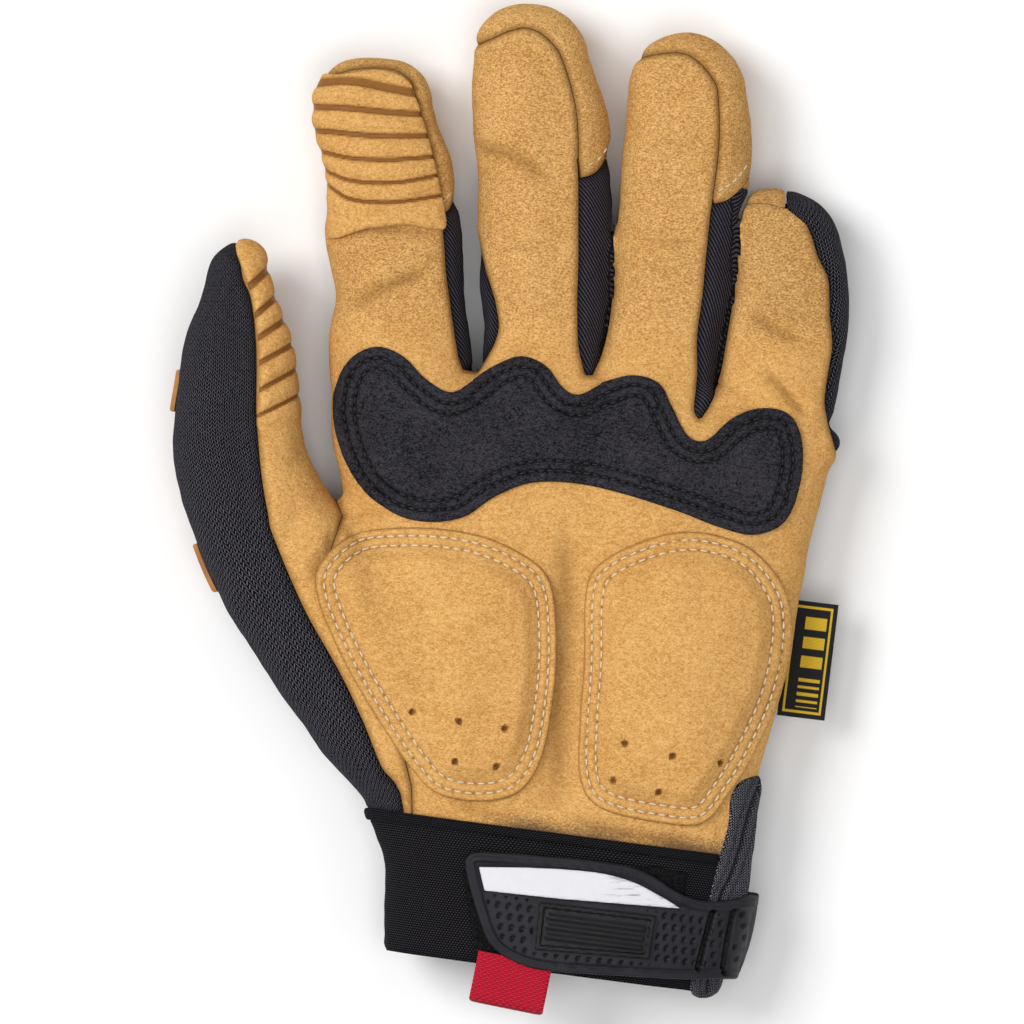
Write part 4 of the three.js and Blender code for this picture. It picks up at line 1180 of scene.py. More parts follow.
def drop(path):
    """Points of the glove's upper skin under a plan path, and the normals there. Each point
    steps down by the distance that is left, so that it comes to rest on the skin."""
    x, y = path[:, 0], path[:, 1]
    z = np.full(len(path), ABOVE_GLOVE)
    for _ in range(DROP_STEPS):
        z = z - 0.8 * glove(x, y, z)
    points = columns(x, y, z)
    return points, unit(steepest(glove, points))


def rungs(rings, sides):
    """Numbers of the points in a tube's rings but the last: each point, and the next in its
    ring."""
    i, j = np.meshgrid(np.arange(rings - 1), np.arange(sides), indexing="ij")
    return (i * sides + j).ravel(), (i * sides + (j + 1) % sides).ravel()


# The pads' pitch, and how far in from their edges the rows of the pads and the patch run
STITCH_PITCH = 2.5
PAD_ROWS = (2.0, 4.3)
PATCH_ROWS = (2.6, 5.0)


def stitches(path, lift, pitch=STITCH_PITCH, length=1.85, width=0.48, sink=0.12):
    """A row of stitches over a plan path. Each is a tube along its chord whose radius is
    w (1 - (2t - 1)^4)^(1/2) and whose middle rises as a half sine."""
    at, where = evenly(path, pitch)
    begin, begin_normal = drop(where(at - length / 2))
    end, end_normal = drop(where(at + length / 2))
    normal = unit(begin_normal + end_normal)
    chord = end - begin
    side = unit(np.cross(chord, normal))
    rings, sides = 5, 6
    t = (np.arange(rings) + 0.5) / rings
    radius = width / 2 * np.sqrt(1 - (2 * t - 1) ** 4)
    angle = np.arange(sides) * 2 * np.pi / sides
    height = (lift - sink + 0.16 * np.sin(np.pi * t))[:, None] + radius[:, None] * np.sin(angle)
    aside = radius[:, None] * np.cos(angle)
    body = (
        begin[:, None, None]
        + chord[:, None, None] * t[:, None, None]
        + normal[:, None, None] * height[..., None]
        + side[:, None, None] * aside[..., None]
    ).reshape(len(at), -1, 3)
    ends = columns(begin, end) + normal[:, None] * (lift - sink)
    points = np.concatenate([body, ends], 1)
    a, b = rungs(rings, sides)
    wall = np.concatenate([columns(a, b, b + sides), columns(a, b + sides, a + sides)])
    j = np.arange(sides)
    last = (rings - 1) * sides
    low = columns(np.full(sides, rings * sides), (j + 1) % sides, j)
    high = columns(np.full(sides, rings * sides + 1), last + j, last + (j + 1) % sides)
    one = np.concatenate([wall, low, high])[:, ::-1]
    faces = one[None] + (np.arange(len(at)) * points.shape[1])[:, None, None]
    return points.reshape(-1, 3), faces.reshape(-1, 3)


def merged(parts):
    """Several meshes as one."""
    starts = np.cumsum([0] + [len(points) for points, _ in parts])
    return (
        np.concatenate([points for points, _ in parts]),
        np.concatenate([faces + start for (_, faces), start in zip(parts, starts)]),
    )


def closed(outline):
    return np.vstack([outline, outline[:1]])


def cut_out(form, points, normals, faces):
    """The part of a skin where a form of its points is above zero, and the form there, which
    is each point's way to the edge."""
    points, normals, faces = clip(points, normals, faces, form(points))
    return points, normals, faces, np.maximum(0, form(points))


def overlay(outline, step, floor=SEAM_HEIGHT + GAP):
    """The skin inside a plan outline and above a height, and each point's way to its edge."""
    low, high = outline.min(0) - 2 * step, outline.max(0) + 2 * step

    def form(place):
        x, y, z = place.T
        return np.minimum(inside(outline, x, y), z - floor)

    return cut_out(form, *skin((*low, floor - 2), (*high, SKIN_TOP), step))


def rounded_edge(edge, radius):
    """How far a quarter circle of that radius falls below the top at a way in from the edge."""
    short = 1 - np.clip(edge / radius, 0, 1)
    return radius * (1 - np.sqrt(1 - short**2))


# Settings


def colour_setting(name, description, default):
    return FloatVectorProperty(
        name=name, description=description, default=default, size=3, subtype="COLOR", min=0, max=1
    )


def length_setting(name, description, default):
    return FloatProperty(name=name, description=description, default=default, unit="LENGTH")


class GLOVE_PG_looks(PropertyGroup):
    leather_light: colour_setting(
        "Leather light", "Raised nap of the tan suede", (0.8, 0.475, 0.17)
    )
    leather_dark: colour_setting("Leather dark", "Specks of the tan suede", (0.47, 0.215, 0.05))
    knit_light: colour_setting("Knit light", "Loops of the stretch knit", (0.14, 0.132, 0.158))
    knit_dark: colour_setting("Knit dark", "Gaps of the stretch knit", (0.0006, 0.0006, 0.001))
    patch_light: colour_setting("Patch light", "Nap of the black suede", (0.05, 0.047, 0.056))
    patch_dark: colour_setting("Patch dark", "Specks of the black suede", (0.004, 0.004, 0.005))
    twill_light: colour_setting("Twill light", "Ridges of the twill strips", (0.13, 0.118, 0.15))
    twill_dark: colour_setting("Twill dark", "Gaps of the twill strips", (0.003, 0.003, 0.005))
    # The dark brown that the leather takes in the band above the cuff, and as painted shade on the
    # fingers
    darkening_brown: colour_setting("Dust", "Dirt in worn and creased leather", (0.15, 0.09, 0.045))
    thread: colour_setting("Thread", "Cream sewing thread", (0.8, 0.66, 0.46))
    groove: colour_setting(
        "Pressed groove", "Glossy brown of the grip grooves", (0.3, 0.13, 0.035)
    )
    shell_step: length_setting("Shell step", "Size of the shell's faces", 0.00085)
    detail_step: length_setting("Detail step", "Size of the pads' and patch's faces", 0.00045)


def looks():
    return bpy.context.scene.glove_looks


def leather_finish():
    """The tan suede, which the shell and the pads share."""
    name = "tan_suede"
    known = bpy.data.materials.get(name)
    return known or suede(name, looks().leather_light, looks().leather_dark, looks().darkening_brown)


SHELL_SLOTS = {
    "palm_panel": "palm_suede",
    "back_panel": "knit",
    "thumb_front": "palm_suede",
    "thumb_back": "knit",
    "index_tip_cap": "palm_suede",
    "middle_tip_cap": "palm_suede",
    "ring_tip_cap": "palm_suede",
    "little_tip_cap": "palm_suede",
    "index_side_strip": "twill",
    "middle_side_strip": "twill",
    "ring_side_strip": "twill",
    "cuff_band": "cuff_elastic",
}


class GLOVE_OT_shell(Operator):
    """Sews the shell: palm, back, thumb, fingertips, side strips and cuff"""

    bl_idname = "glove.shell"
    bl_label = "Shell"

    def execute(self, context):
        """One skin is cut along the seams, and each panel is folded, drawn in at its seams
        and given its wall."""
        step = looks().shell_step * 1000
        points, normals, faces = skin(*SHELL_BOX, step)
        zones = panels(points)
        finishes = {
            "palm_suede": leather_finish(),
            "knit": knit("black_knit", looks().knit_light, looks().knit_dark),
            "twill": twill("charcoal_twill", looks().twill_light, looks().twill_dark),
            "cuff_elastic": elastic(
                "black_elastic", (0.043, 0.04, 0.047), (0.0004, 0.0004, 0.0005)
            ),
        }
        for node, slot in SHELL_SLOTS.items():
            place, normal, face = clip(points, normals, faces, zones[node] - 0.1)
            edge = np.maximum(0, panels(place)[node])
            lift, dark = folds(place, normal)
            if slot != "palm_suede":
                lift, dark = 0.4 * lift, 0 * dark
            # Painted shade: the twill strips darken the lower they lie in the forks between the
            # fingers
            if slot == "twill":
                dark = 0.8 * ease(17 - place[:, 2], 0, 6)
            lift = lift + unevenness(place) - 0.5 * self.cover(place)
            roll = bell(edge, 0.9) * self.seam_depth(place)
            lift = lift - 0.6 * roll + 0.12 * bell(edge - 2.2, 1.2)
            # Painted shade in the drawn-in roll along each seam
            dark = np.maximum(dark, (0.75 if slot == "palm_suede" else 0.5) * roll)
            worn = self.darkened_band_and_finger_shade(place) if slot == "palm_suede" else 0 * dark
            body = thicken(place, normal, face, lift, lift - WALL + 0.2)
            make(node + "_cloth", *body, finishes[slot], slot, [node],
                 weave=weave_of(node, place), crease=dark, worn=worn)
        return {"FINISHED"}

    @staticmethod
    def cover(points):
        """1 under what is sewn on the palm, where the shell is pressed down, and 0 elsewhere."""
        x, y, z = points.T
        grips = (spline(tube.plan(*shares), per=2) for tube, shares in
                 ((INDEX, INDEX_GRIP), (THUMB, THUMB_GRIP)))
        depth = np.max([inside(each, x, y) for each in (PATCH, THENAR, HEEL, *grips)], 0)
        return ease(depth, 0.5, 1.6) * ease(z, SEAM_HEIGHT + 1, SEAM_HEIGHT + 3)

    @staticmethod
    def seam_depth(points):
        """The seam round the little finger's cap is shallow, and the others are full depth."""
        x, y, _ = points.T
        low = LITTLE.plan((0.9, -0.6))[0]
        return 1 - 0.7 * ease(x - low[0], -1, 1) * ease(y - low[1], -1, 1)

    @staticmethod
    def darkened_band_and_finger_shade(points):
        """The leather darkens in a soft, patchy band above the cuff, and a little on the fingers,
        most on the little finger, where it is painted shade."""
        x, y, z = points.T
        above_cuff = bell(cuff_line(x, y), 4.5) * ease(x, -30, -6) * ease(58 - x, 0, 22)
        patchy = 0.8 + 0.3 * ripple(points, 14, 8)
        # Painted shade: the fingers darkened a little, the little finger most
        fingers = ease(y, 100, 128) * ease(x, -66, -58) * (0.27 + 0.08 * ease(x, 40, 50))
        return np.maximum(np.clip(0.74 * above_cuff * patchy, 0, 1), fingers) * ease(z, 8, 14)


class GLOVE_OT_patch(Operator):
    """Lays the black suede patch below the fingers"""

    bl_idname = "glove.patch"
    bl_label = "Knuckle patch"

    def execute(self, context):
        """The sheet is drawn in along its two rows of stitches."""
        points, normals, faces, edge = overlay(PATCH, looks().detail_step * 1000)
        rows = sum(bell(edge - way_in, 0.45) for way_in in PATCH_ROWS)
        lift = GAP + 1.1 - rounded_edge(edge, 0.6) - 0.22 * rows + 0.3 * ease(edge, 5, 11)
        fold, _ = folds(points, normals)
        lift = lift + 0.5 * fold + unevenness(points) + 0.05 * ripple(points, 4, 6)
        black = (0.003, 0.003, 0.004)
        finish = suede("black_suede", looks().patch_light, looks().patch_dark, black, 0.32, 1.35)
        body = thicken(points, normals, faces, lift, -0.2)
        # Painted shade along the two drawn-in stitch rows
        make("knuckle_patch_suede", *body, finish, "patch_suede", ["knuckle_patch"],
             crease=0.95 * np.clip(rows, 0, 1), worn=0)
        return {"FINISHED"}


class GLOVE_OT_pads(Operator):
    """Builds the two foam pads of the palm"""

    bl_idname = "glove.pads"
    bl_label = "Palm pads"

    def execute(self, context):
        for name, outline, vents, centre, size in (
            ("thenar_pad", THENAR, THENAR_VENTS, THENAR_CENTRE, THENAR_SIZE),
            ("heel_pad", HEEL, HEEL_VENTS, HEEL_CENTRE, HEEL_SIZE),
        ):
            self.pad(name, outline, np.array(vents) * size + centre)
        return {"FINISHED"}

    @staticmethod
    def pad(name, outline, vents):
        """A flange with two stitched rows, then a steep shoulder and a low crown. The shoulder
        stands up inside the inner row, and each vent is a small round pit."""
        points, normals, faces, edge = overlay(outline, looks().detail_step * 1000)
        rows = sum(bell(edge - way_in, 0.5) for way_in in PAD_ROWS)
        lift = GAP + 1.15 - rounded_edge(edge, 0.8) - 0.35 * rows
        lift = lift + 1.75 * ease(edge, 4.5, 8.6) + 0.75 * ease(edge, 7, 24)
        lift = lift + unevenness(points) + 0.04 * ripple(points, 5, 9)
        pit = np.zeros(len(points))
        for x, y in vents:
            apart = np.hypot(points[:, 0] - x, points[:, 1] - y)
            pit = np.maximum(pit, 1 - ease(apart, 0.5, 0.95))
        body = thicken(points, normals, faces, lift - 1.5 * pit, -0.2)
        holes = np.zeros(len(points))
        for way_in in PAD_ROWS:
            row = closed(inwards(outline, way_in))
            apart, along = beside(row, points[:, 0], points[:, 1])
            count = evenly(row, STITCH_PITCH)[0].size
            step = np.abs(np.mod(along * count + 0.5, 1) - 0.5) * STITCH_PITCH
            holes = np.maximum(holes, bell(apart, 0.3) * bell(step, 0.32))
        # Painted shade in the stitch rows and holes, in the vent pits and round the pad's edge
        dark = 0.22 * rows + 0.7 * holes + 0.95 * pit + 0.5 * bell(edge, 0.45)
        dark = np.clip(dark, 0, 1)
        piece = make(name + "_suede", *body, leather_finish(), "pad_suede", [name],
                     crease=dark, worn=0)


INDEX_GRIP = [
    (0.629, -0.6), (0.629, -0.2), (0.638, 0.1), (0.627, 0.3), (0.645, 0.385), (0.79, 0.36),
    (0.885, 0.37), (0.945, 0.29), (0.968, 0.08), (0.96, -0.2), (0.93, -0.6),
]
THUMB_GRIP = [
    (0.655, 0.19), (0.66, 0.6), (0.85, 0.9), (1.0, 0.9), (1.0, 0.03), (0.95, 0.1), (0.9, 0.215),
    (0.82, 0.21), (0.74, 0.195),
]
# Pressed grooves: their path in the photograph and their width in millimetres
INDEX_GROOVES = [
    ([(300, 90), (325, 83), (356, 83), (384, 88), (424, 96)], 2.0),
    ([(298, 106), (313, 107), (349, 109), (384, 112.5), (432, 116)], 1.45),
    ([(298, 127), (314, 130), (332, 132), (357, 135), (384, 137), (436, 137)], 1.25),
    ([(300, 142), (315, 148.5), (330, 153), (349, 158), (370, 160), (400, 160), (438, 157)], 0.95),
    ([(316, 161), (327, 169.5), (337, 175), (352, 180.5), (376, 183), (404, 182),
      (440, 175)], 0.9),
    ([(326, 181), (339, 192), (352, 199.5), (376, 203), (404, 202), (446, 195)], 0.85),
]
THUMB_GROOVES = [
    ([(240, 296), (251, 286), (266, 269), (278, 252)], 1.75),
    ([(246, 323), (259, 313), (274, 297.5), (290, 278)], 1.5),
    ([(246, 346), (258, 339), (283, 321), (300, 308)], 1.45),
    ([(246, 371), (259, 364), (290, 345), (306, 334)], 1.3),
    ([(246, 397), (259, 391), (294, 370), (310, 360)], 1.1),
    ([(246, 421), (261, 415), (297, 395.5), (314, 386)], 0.95),
]


class GLOVE_OT_grips(Operator):
    """Lays the ribbed grips on the index finger and the thumb"""

    bl_idname = "glove.grips"
    bl_label = "Grips"

    def execute(self, context):
        finish = suede("pressed_suede", looks().leather_light, looks().leather_dark, looks().darkening_brown,
                       pressed=looks().groove)
        for name, tube, shares, grooves, side_relief in (
            ("index_grip", INDEX, INDEX_GRIP, INDEX_GROOVES, 0.12),
            ("thumb_grip", THUMB, THUMB_GRIP, THUMB_GROOVES, 0.38),
        ):
            outline = spline(tube.plan(*shares), per=4)
            points, normals, faces, edge = overlay(outline, GRIP_STEP)
            x, y, _ = points.T
            low = tube.plan(shares[0])[0, 1]
            blend = ease(y, low, low + 7)
            if tube is INDEX:
                left = tube.plan((0.64, -0.42), (0.64, -0.12))[:, 0]
                blend = np.maximum(blend, ease(x, *left))
            relief = side_relief + (1 - side_relief) * ease(normals[:, 2], 0.05, 0.6)
            lift, groove = self.ribs(points, edge, grooves)
            lift = 0.12 + (lift - 0.12) * relief * blend + unevenness(points)
            lift = lift - 0.3 * rounded_edge(edge, 0.5)
            body = thicken(points, normals, faces, lift, lift - 1.1)
            make(name + "_suede", *body, finish, "grip_suede", [name], crease=groove, worn=0)
        return {"FINISHED"}

    @staticmethod
    def ribs(points, edge, grooves):
        """Flat-bottomed grooves along the paths, and ribs that swell between them: the swell
        grows with the square root of the way to the nearest groove."""
        x, y = points[:, 0], points[:, 1]
        groove = np.zeros(len(points))
        apart = np.full(len(points), 9.0)
        for path, width in grooves:
            way, _ = beside(photo_line(path), x, y)
            groove = np.maximum(groove, 1 - ease(way, 0.34 * width, 0.6 * width))
            apart = np.minimum(apart, np.maximum(0, way - width / 2))
        swell = np.sqrt(np.clip(np.minimum(apart, edge) / 1.9, 0, 1))
        lift = GAP + 0.6 + 0.9 * swell - 0.6 * groove - 0.5 * rounded_edge(edge, 0.6)
        return lift, groove


class GLOVE_OT_guard(Operator):
    """Sets the moulded guard on the outside of the thumb"""

    bl_idname = "glove.guard"
    bl_label = "Thumb guard"

    def execute(self, context):
        """A spine with two lobes that reach further up the thumb, and a groove inside its edge."""
        spine = THUMB.plan((0.37, -0.8), (0.37, -0.4), (0.78, -0.37), (0.78, -0.8))
        upper = THUMB.plan((0.695, -0.8), (0.695, -0.44), (0.77, -0.42), (0.77, -0.8))
        lower = THUMB.plan((0.375, -0.8), (0.375, -0.46), (0.46, -0.46), (0.46, -0.8))
        low, high = (*(spine.min(0) - 1), 6), (*(spine.max(0) + 1), 20)

        def form(place):
            x, y, z = place.T
            parts = [
                np.minimum(inside(outline, x, y), top - z)
                for outline, top in ((spine, 11.5), (upper, 17.6), (lower, 16))
            ]
            return np.minimum(np.max(parts, 0), z - SEAM_HEIGHT - GAP)

        points, normals, faces, edge = cut_out(form, *skin(low, high, GUARD_STEP))
        lift = GAP + 1.0 - rounded_edge(edge, 0.6) - 0.25 * bell(edge - 1.4, 0.3)
        finish = rubber("tan_rubber", (0.5, 0.23, 0.07), (0.36, 0.15, 0.045))
        make("thumb_guard_moulding", *thicken(points, normals, faces, lift, 0.1), finish,
             "guard_rubber", ["thumb_guard"], crease=0, worn=0)
        return {"FINISHED"}


# The closure on the cuff, in shares of the cuff
LOOP_PATCH = cuff((-0.28, 0.34), (-0.24, 0.95), (0.3, 0.93), (0.335, 0.14), (0.25, 0.12))
STRAP = spline(
    cuff(
        (-0.265, 0.32), (-0.258, 0.215), (-0.21, 0.175), (-0.03, 0.152), (0.14, 0.14),
        (0.225, 0.175), (0.315, 0.295), (0.39, 0.325), (0.47, 0.27), (0.56, 0.17),
        (0.66, 0.14), (0.67, 0.75), (0.56, 0.765), (0.475, 0.815), (0.33, 0.9), (0.15, 0.945),
        (-0.05, 0.978), (-0.14, 0.94), (-0.2, 0.84), (-0.235, 0.62),
    )
)
STRAP_BACK = cuff((0.1, 0.25), (0.1, 0.78), (0.9, 0.7), (0.9, 0.2))
STRIPE = np.vstack(
    [
        pixels((480.3, 865.5), (485.6, 889), (558, 897)),
        photo_line(
            [
                (678, 906.8), (667, 899.5), (656, 893), (633, 881), (603, 872.5), (566, 868.5),
                (530, 866.5),
            ]
        ),
    ]
)
PLATE = cuff((-0.066, 0.485), (-0.08, 0.835), (0.228, 0.795), (0.248, 0.475))
SLIT = photo_line(
    [(758, 776), (749, 800), (742, 825), (736, 850), (728, 875), (716, 905), (704, 990)]
)
# The strap's height over the skin, the width of its rim and the pitch of its rows of pits
STRAP_TOP = 4.0
STRAP_RIM = 2.5
PIT_ROW = 2.55
# Slots across the strap's end: their path in the photograph and their width in millimetres
STRAP_SLOTS = [
    ([(708, 910), (693, 966)], 1.15),
    ([(726, 909), (714, 968)], 1.1),
    ([(742, 910), (732, 966)], 0.95),
    ([(752, 912), (743, 952)], 0.5),
]


class GLOVE_OT_cuff_trim(Operator):
    """Sews the tape, the slit's binding and the pile patch on the cuff"""

    bl_idname = "glove.cuff_trim"
    bl_label = "Cuff trim"

    def execute(self, context):
        self.tape()
        self.binding()
        self.pile_patch()
        return {"FINISHED"}

    @staticmethod
    def tape():
        """A narrow band along the cuff's top edge that stays clear of the binding and pads."""

        def form(place):
            x, y, z = place.T
            below = cuff_line(x, y)
            band = np.minimum(below + 0.8, 1.8 - below)
            clear = -np.max([inside(each, x, y) for each in (BINDING, THENAR, HEEL)], 0) - GAP
            return np.where(z > SEAM_HEIGHT, np.minimum(band, clear), band)

        points, normals, faces, edge = cut_out(form, *skin(*TAPE_BOX, TRIM_STEP))
        lift = GAP + 0.7 - rounded_edge(edge, 0.7) + unevenness(points)
        finish = elastic("black_tape", (0.035, 0.033, 0.04), (0.0006, 0.0006, 0.0008), 0.45)
        make("cuff_tape_cloth", *thicken(points, normals, faces, lift, UNDERSIDE), finish,
             "cuff_elastic", ["cuff_tape"], weave=weave_of("cuff_band", points), crease=0, worn=0)

    @staticmethod
    def binding():
        """Two soft rolls side by side, with the slit between them."""
        points, normals, faces, edge = overlay(BINDING, BINDING_STEP, SEAM_HEIGHT)
        apart, _ = beside(SLIT, points[:, 0], points[:, 1])
        slit = bell(apart, 0.45)
        seam = bell(apart - 1.7, 0.25)
        lift = GAP + 1.05 - rounded_edge(edge, 1.0) - 0.75 * slit - 0.18 * seam
        lift = lift + 0.08 * ripple(points, 5, 14)
        finish = knit("grey_binding", (0.26, 0.26, 0.3), (0.008, 0.008, 0.011), 0.8, 0.62)
        # Painted shade in the slit and along the seams beside it
        make("wrist_binding_cloth", *thicken(points, normals, faces, lift, UNDERSIDE), finish,
             "binding_knit", ["wrist_binding"], weave=points[:, :2],
             crease=0.7 * np.clip(slit + 0.6 * seam, 0, 1), worn=0)

    @staticmethod
    def pile_patch():
        points, normals, faces, _ = overlay(LOOP_PATCH, TRIM_STEP)
        x, y, _ = points.T
        points, normals, faces = clip(points, normals, faces, -inside(BINDING, x, y) - GAP)
        edge = inside(LOOP_PATCH, points[:, 0], points[:, 1])
        lift = GAP + 0.8 - rounded_edge(edge, 0.5) + 0.12 * ripple(points, 2.2, 15)
        finish = pile("black_pile", (0.018, 0.018, 0.02), (0.002, 0.002, 0.002))
        make("loop_patch_pile", *thicken(points, normals, faces, lift, UNDERSIDE), finish,
             "loop_pile", ["loop_patch"])


class GLOVE_OT_closure(Operator):
    """Moulds the closure strap, with its tape and its raised plate"""

    bl_idname = "glove.closure"
    bl_label = "Closure strap"

    def execute(self, context):
        moulded = rubber("black_rubber", (0.021, 0.021, 0.027), (0.013, 0.013, 0.017))
        self.strap(moulded)
        points, normals, faces, edge = overlay(STRIPE, TAPE_STEP, CUFF_MIDDLE)
        lift = 3.3 - rounded_edge(edge, 0.2)
        finish = tape("white_tape", (0.74, 0.74, 0.78), (0.25, 0.25, 0.28))
        make("strap_stripe_tape", *thicken(points, normals, faces, lift, 2.8), finish, "stripe",
             ["strap_stripe"], worn=ease(points[:, 0], 6, 20))
        self.plate(rubber("plate_rubber", (0.008, 0.008, 0.01), (0.004, 0.004, 0.005), 0.22))
        return {"FINISHED"}

    def strap(self, finish):
        """The front and back outlines joined round the side. A rim with one groove runs round
        the front, and the sunk field inside it has rows of pits and a few slots."""

        def form(place):
            x, y, z = place.T
            front, back = inside(STRAP, x, y), inside(STRAP_BACK, x, y)
            return back + (front - back) * ease(z, 15.6, 16.6)

        points, normals, faces, edge = cut_out(form, *skin(*STRAP_BOX, STRAP_STEP))
        x, y, z = points.T
        front = ease(z, 15, 18)
        sunk = ease(edge, STRAP_RIM - 0.6, STRAP_RIM) * front
        rim_groove = 0.25 * front * bell(edge - STRAP_RIM / 2, 0.3)
        lift = STRAP_TOP - 0.8 * rounded_edge(edge, 0.7) - rim_groove - 0.8 * sunk
        slots, from_slots = self.slots(x, y)
        slots = slots * ease(normals[:, 2], 0, 0.3) * ease(z, 8, 11)
        in_stripe = inside(STRIPE, x, y)
        under_tape = ease(in_stripe, -0.5, -0.1)
        clear = -np.maximum(in_stripe, inside(PLATE, x, y))
        field = sunk * ease(clear, 0.7, 1.0) * ease(edge, STRAP_RIM + 0.2, STRAP_RIM + 0.6)
        pits = field * ease(from_slots, 0.35, 0.75) * self.pits(x, y)
        lift = lift - 0.45 * under_tape * sunk - 0.5 * pits - 1.3 * slots
        # Painted shade in the slots and pits
        crease = np.clip(slots + 0.85 * pits, 0, 1)
        make("closure_strap_rubber", *thicken(points, normals, faces, lift, 1.5), finish,
             "strap_rubber", ["closure_strap"], crease=crease, worn=0)

    @staticmethod
    def slots(x, y):
        """1 in the slots across the strap's end and 0 elsewhere, and the way to the nearest."""
        slots = np.zeros(len(x))
        nearest = np.full(len(x), FAR)
        for path, width in STRAP_SLOTS:
            away, _ = beside(pixels(*path), x, y)
            nearest = np.minimum(nearest, away - width / 2)
            slots = np.maximum(slots, 1 - ease(away, 0.25 * width, 0.75 * width))
        return slots, nearest

    @staticmethod
    def pits(x, y):
        """1 in drop-shaped pits and 0 elsewhere. They stand in slanted rows, each shifted by
        half a pitch, and closer together towards the strap's end."""
        along = x * np.cos(CUFF_TILT) - y * np.sin(CUFF_TILT)
        below = cuff_line(x, y)
        slanted = along + 0.24 * (below - 14)
        pitch = np.where(along > 20, 2.1, PIT_ROW)
        row = np.round(below / PIT_ROW)
        off_row = below - PIT_ROW * row
        aside = slanted - pitch * (row % 2) / 2
        aside = aside - pitch * np.round(aside / pitch)
        return 1 - ease(np.hypot(aside * (1 + 0.3 * off_row), off_row * 0.62), 0.3, 0.62)

    @staticmethod
    def plate(finish):
        """A raised frame round a sunk field with three plain ridges."""
        points, normals, faces, edge = overlay(PLATE, STRAP_STEP, CUFF_MIDDLE)
        x, y, _ = points.T
        low, high = cuff_line(*PLATE[3]), cuff_line(*PLATE[1])
        rise = (cuff_line(x, y) - low) / (high - low)
        ridge = np.sin(np.pi * np.clip((rise - 0.2) / 0.6, 0, 1) * 3) ** 2
        inner = ease(edge, 1.0, 1.25)
        lift = 4.35 - rounded_edge(edge, 0.3) - inner * (0.55 - 0.4 * ridge * ease(edge, 1.6, 2.4))
        make("strap_plate_rubber", *thicken(points, normals, faces, lift, 3.0), finish,
             "strap_rubber", ["strap_plate"], crease=0, worn=0)


def ribbon(path, normals, half_width, half_thick, count=44):
    """A flat band carried along a path in its own plane. Its section has even places across,
    and its thickness falls to the edges as (1 - |u|^14)^(1/2). It gives points, faces and each
    point's place across and along the band."""
    travelled = distances(path)
    places = np.linspace(1, -1, count)
    places = np.concatenate([places, -places[1:-1]])
    upper = np.where(np.arange(len(places)) < count, 1, -1)
    around = len(places)
    across = half_width * places
    out = half_thick * upper * np.sqrt(1 - np.abs(places) ** 14)
    points = np.zeros((len(path), around, 3))
    points[:, :, 0] = across
    points[:, :, 1] = path[:, None, 0] + normals[:, None, 0] * out
    points[:, :, 2] = path[:, None, 1] + normals[:, None, 1] * out
    weave = np.stack(np.broadcast_arrays(across[None, :], travelled[:, None]), -1).reshape(-1, 2)
    a, b = rungs(len(path), around)
    wall = np.concatenate([columns(a, a + around, b + around), columns(a, b + around, b)])
    j = np.arange(1, around - 1)
    first = columns(np.zeros_like(j), j, j + 1)
    last = (len(path) - 1) * around + columns(np.zeros_like(j), j + 1, j)
    return points.reshape(-1, 3), np.concatenate([wall, first, last]), weave


def turned(points, angle, place):
    """Points turned about z and moved to a place."""
    c, s = np.cos(angle), np.sin(angle)
    x, y, z = points.T
    return columns(x * c - y * s, x * s + y * c, z) + np.array(place)


class GLOVE_OT_tab(Operator):
    """Folds the red webbing loop below the cuff"""

    bl_idname = "glove.tab"
    bl_label = "Pull tab"

    def execute(self, context):
        """The band runs out along the hem, round a half circle and back above itself."""
        half, reach, thick, bend_radius, places = 9, -10.9, 1.2, 0.9, 36
        turn = np.linspace(-np.pi / 2, -1.5 * np.pi, 16)
        run = np.linspace(0, reach, places)
        low = thick / 2
        high = low + 2 * bend_radius
        out = columns(np.cos(turn), np.sin(turn))[1:-1]
        path = np.vstack([
            columns(run, np.full(places, low)),
            (reach, low + bend_radius) + bend_radius * out,
            columns(run[::-1], np.full(places, high)),
        ])
        normals = np.vstack([np.tile((0, -1), (places, 1)), out, np.tile((0, 1), (places, 1))])
        points, faces, weave = ribbon(path, normals, half, thick / 2 - 0.05)
        x, y, _ = points.T
        points[:, 2] += 0.35 * np.sin((x + y) * 0.28) * ease(-y, 2, 12)
        hem = (HAND_ROWS[1, 3] + HAND_ROWS[1, 4]) * PALM_DEPTH
        place = cuff((-0.235, 0.9))[0]
        points = turned(points + (half, 0, 0), -CUFF_TILT - np.radians(4), (*place, hem - 0.2))
        shade = 0.45 * ease(-y, 10.2, 12.2)
        finish = webbing("red_webbing", (1.0, 0.03, 0.085), (0.3, 0.0, 0.008), 1.66, 1.0)
        make("pull_tab_webbing", points, faces, finish, "tab_webbing", ["pull_tab"],
             weave=weave, crease=shade, worn=0)
        return {"FINISHED"}


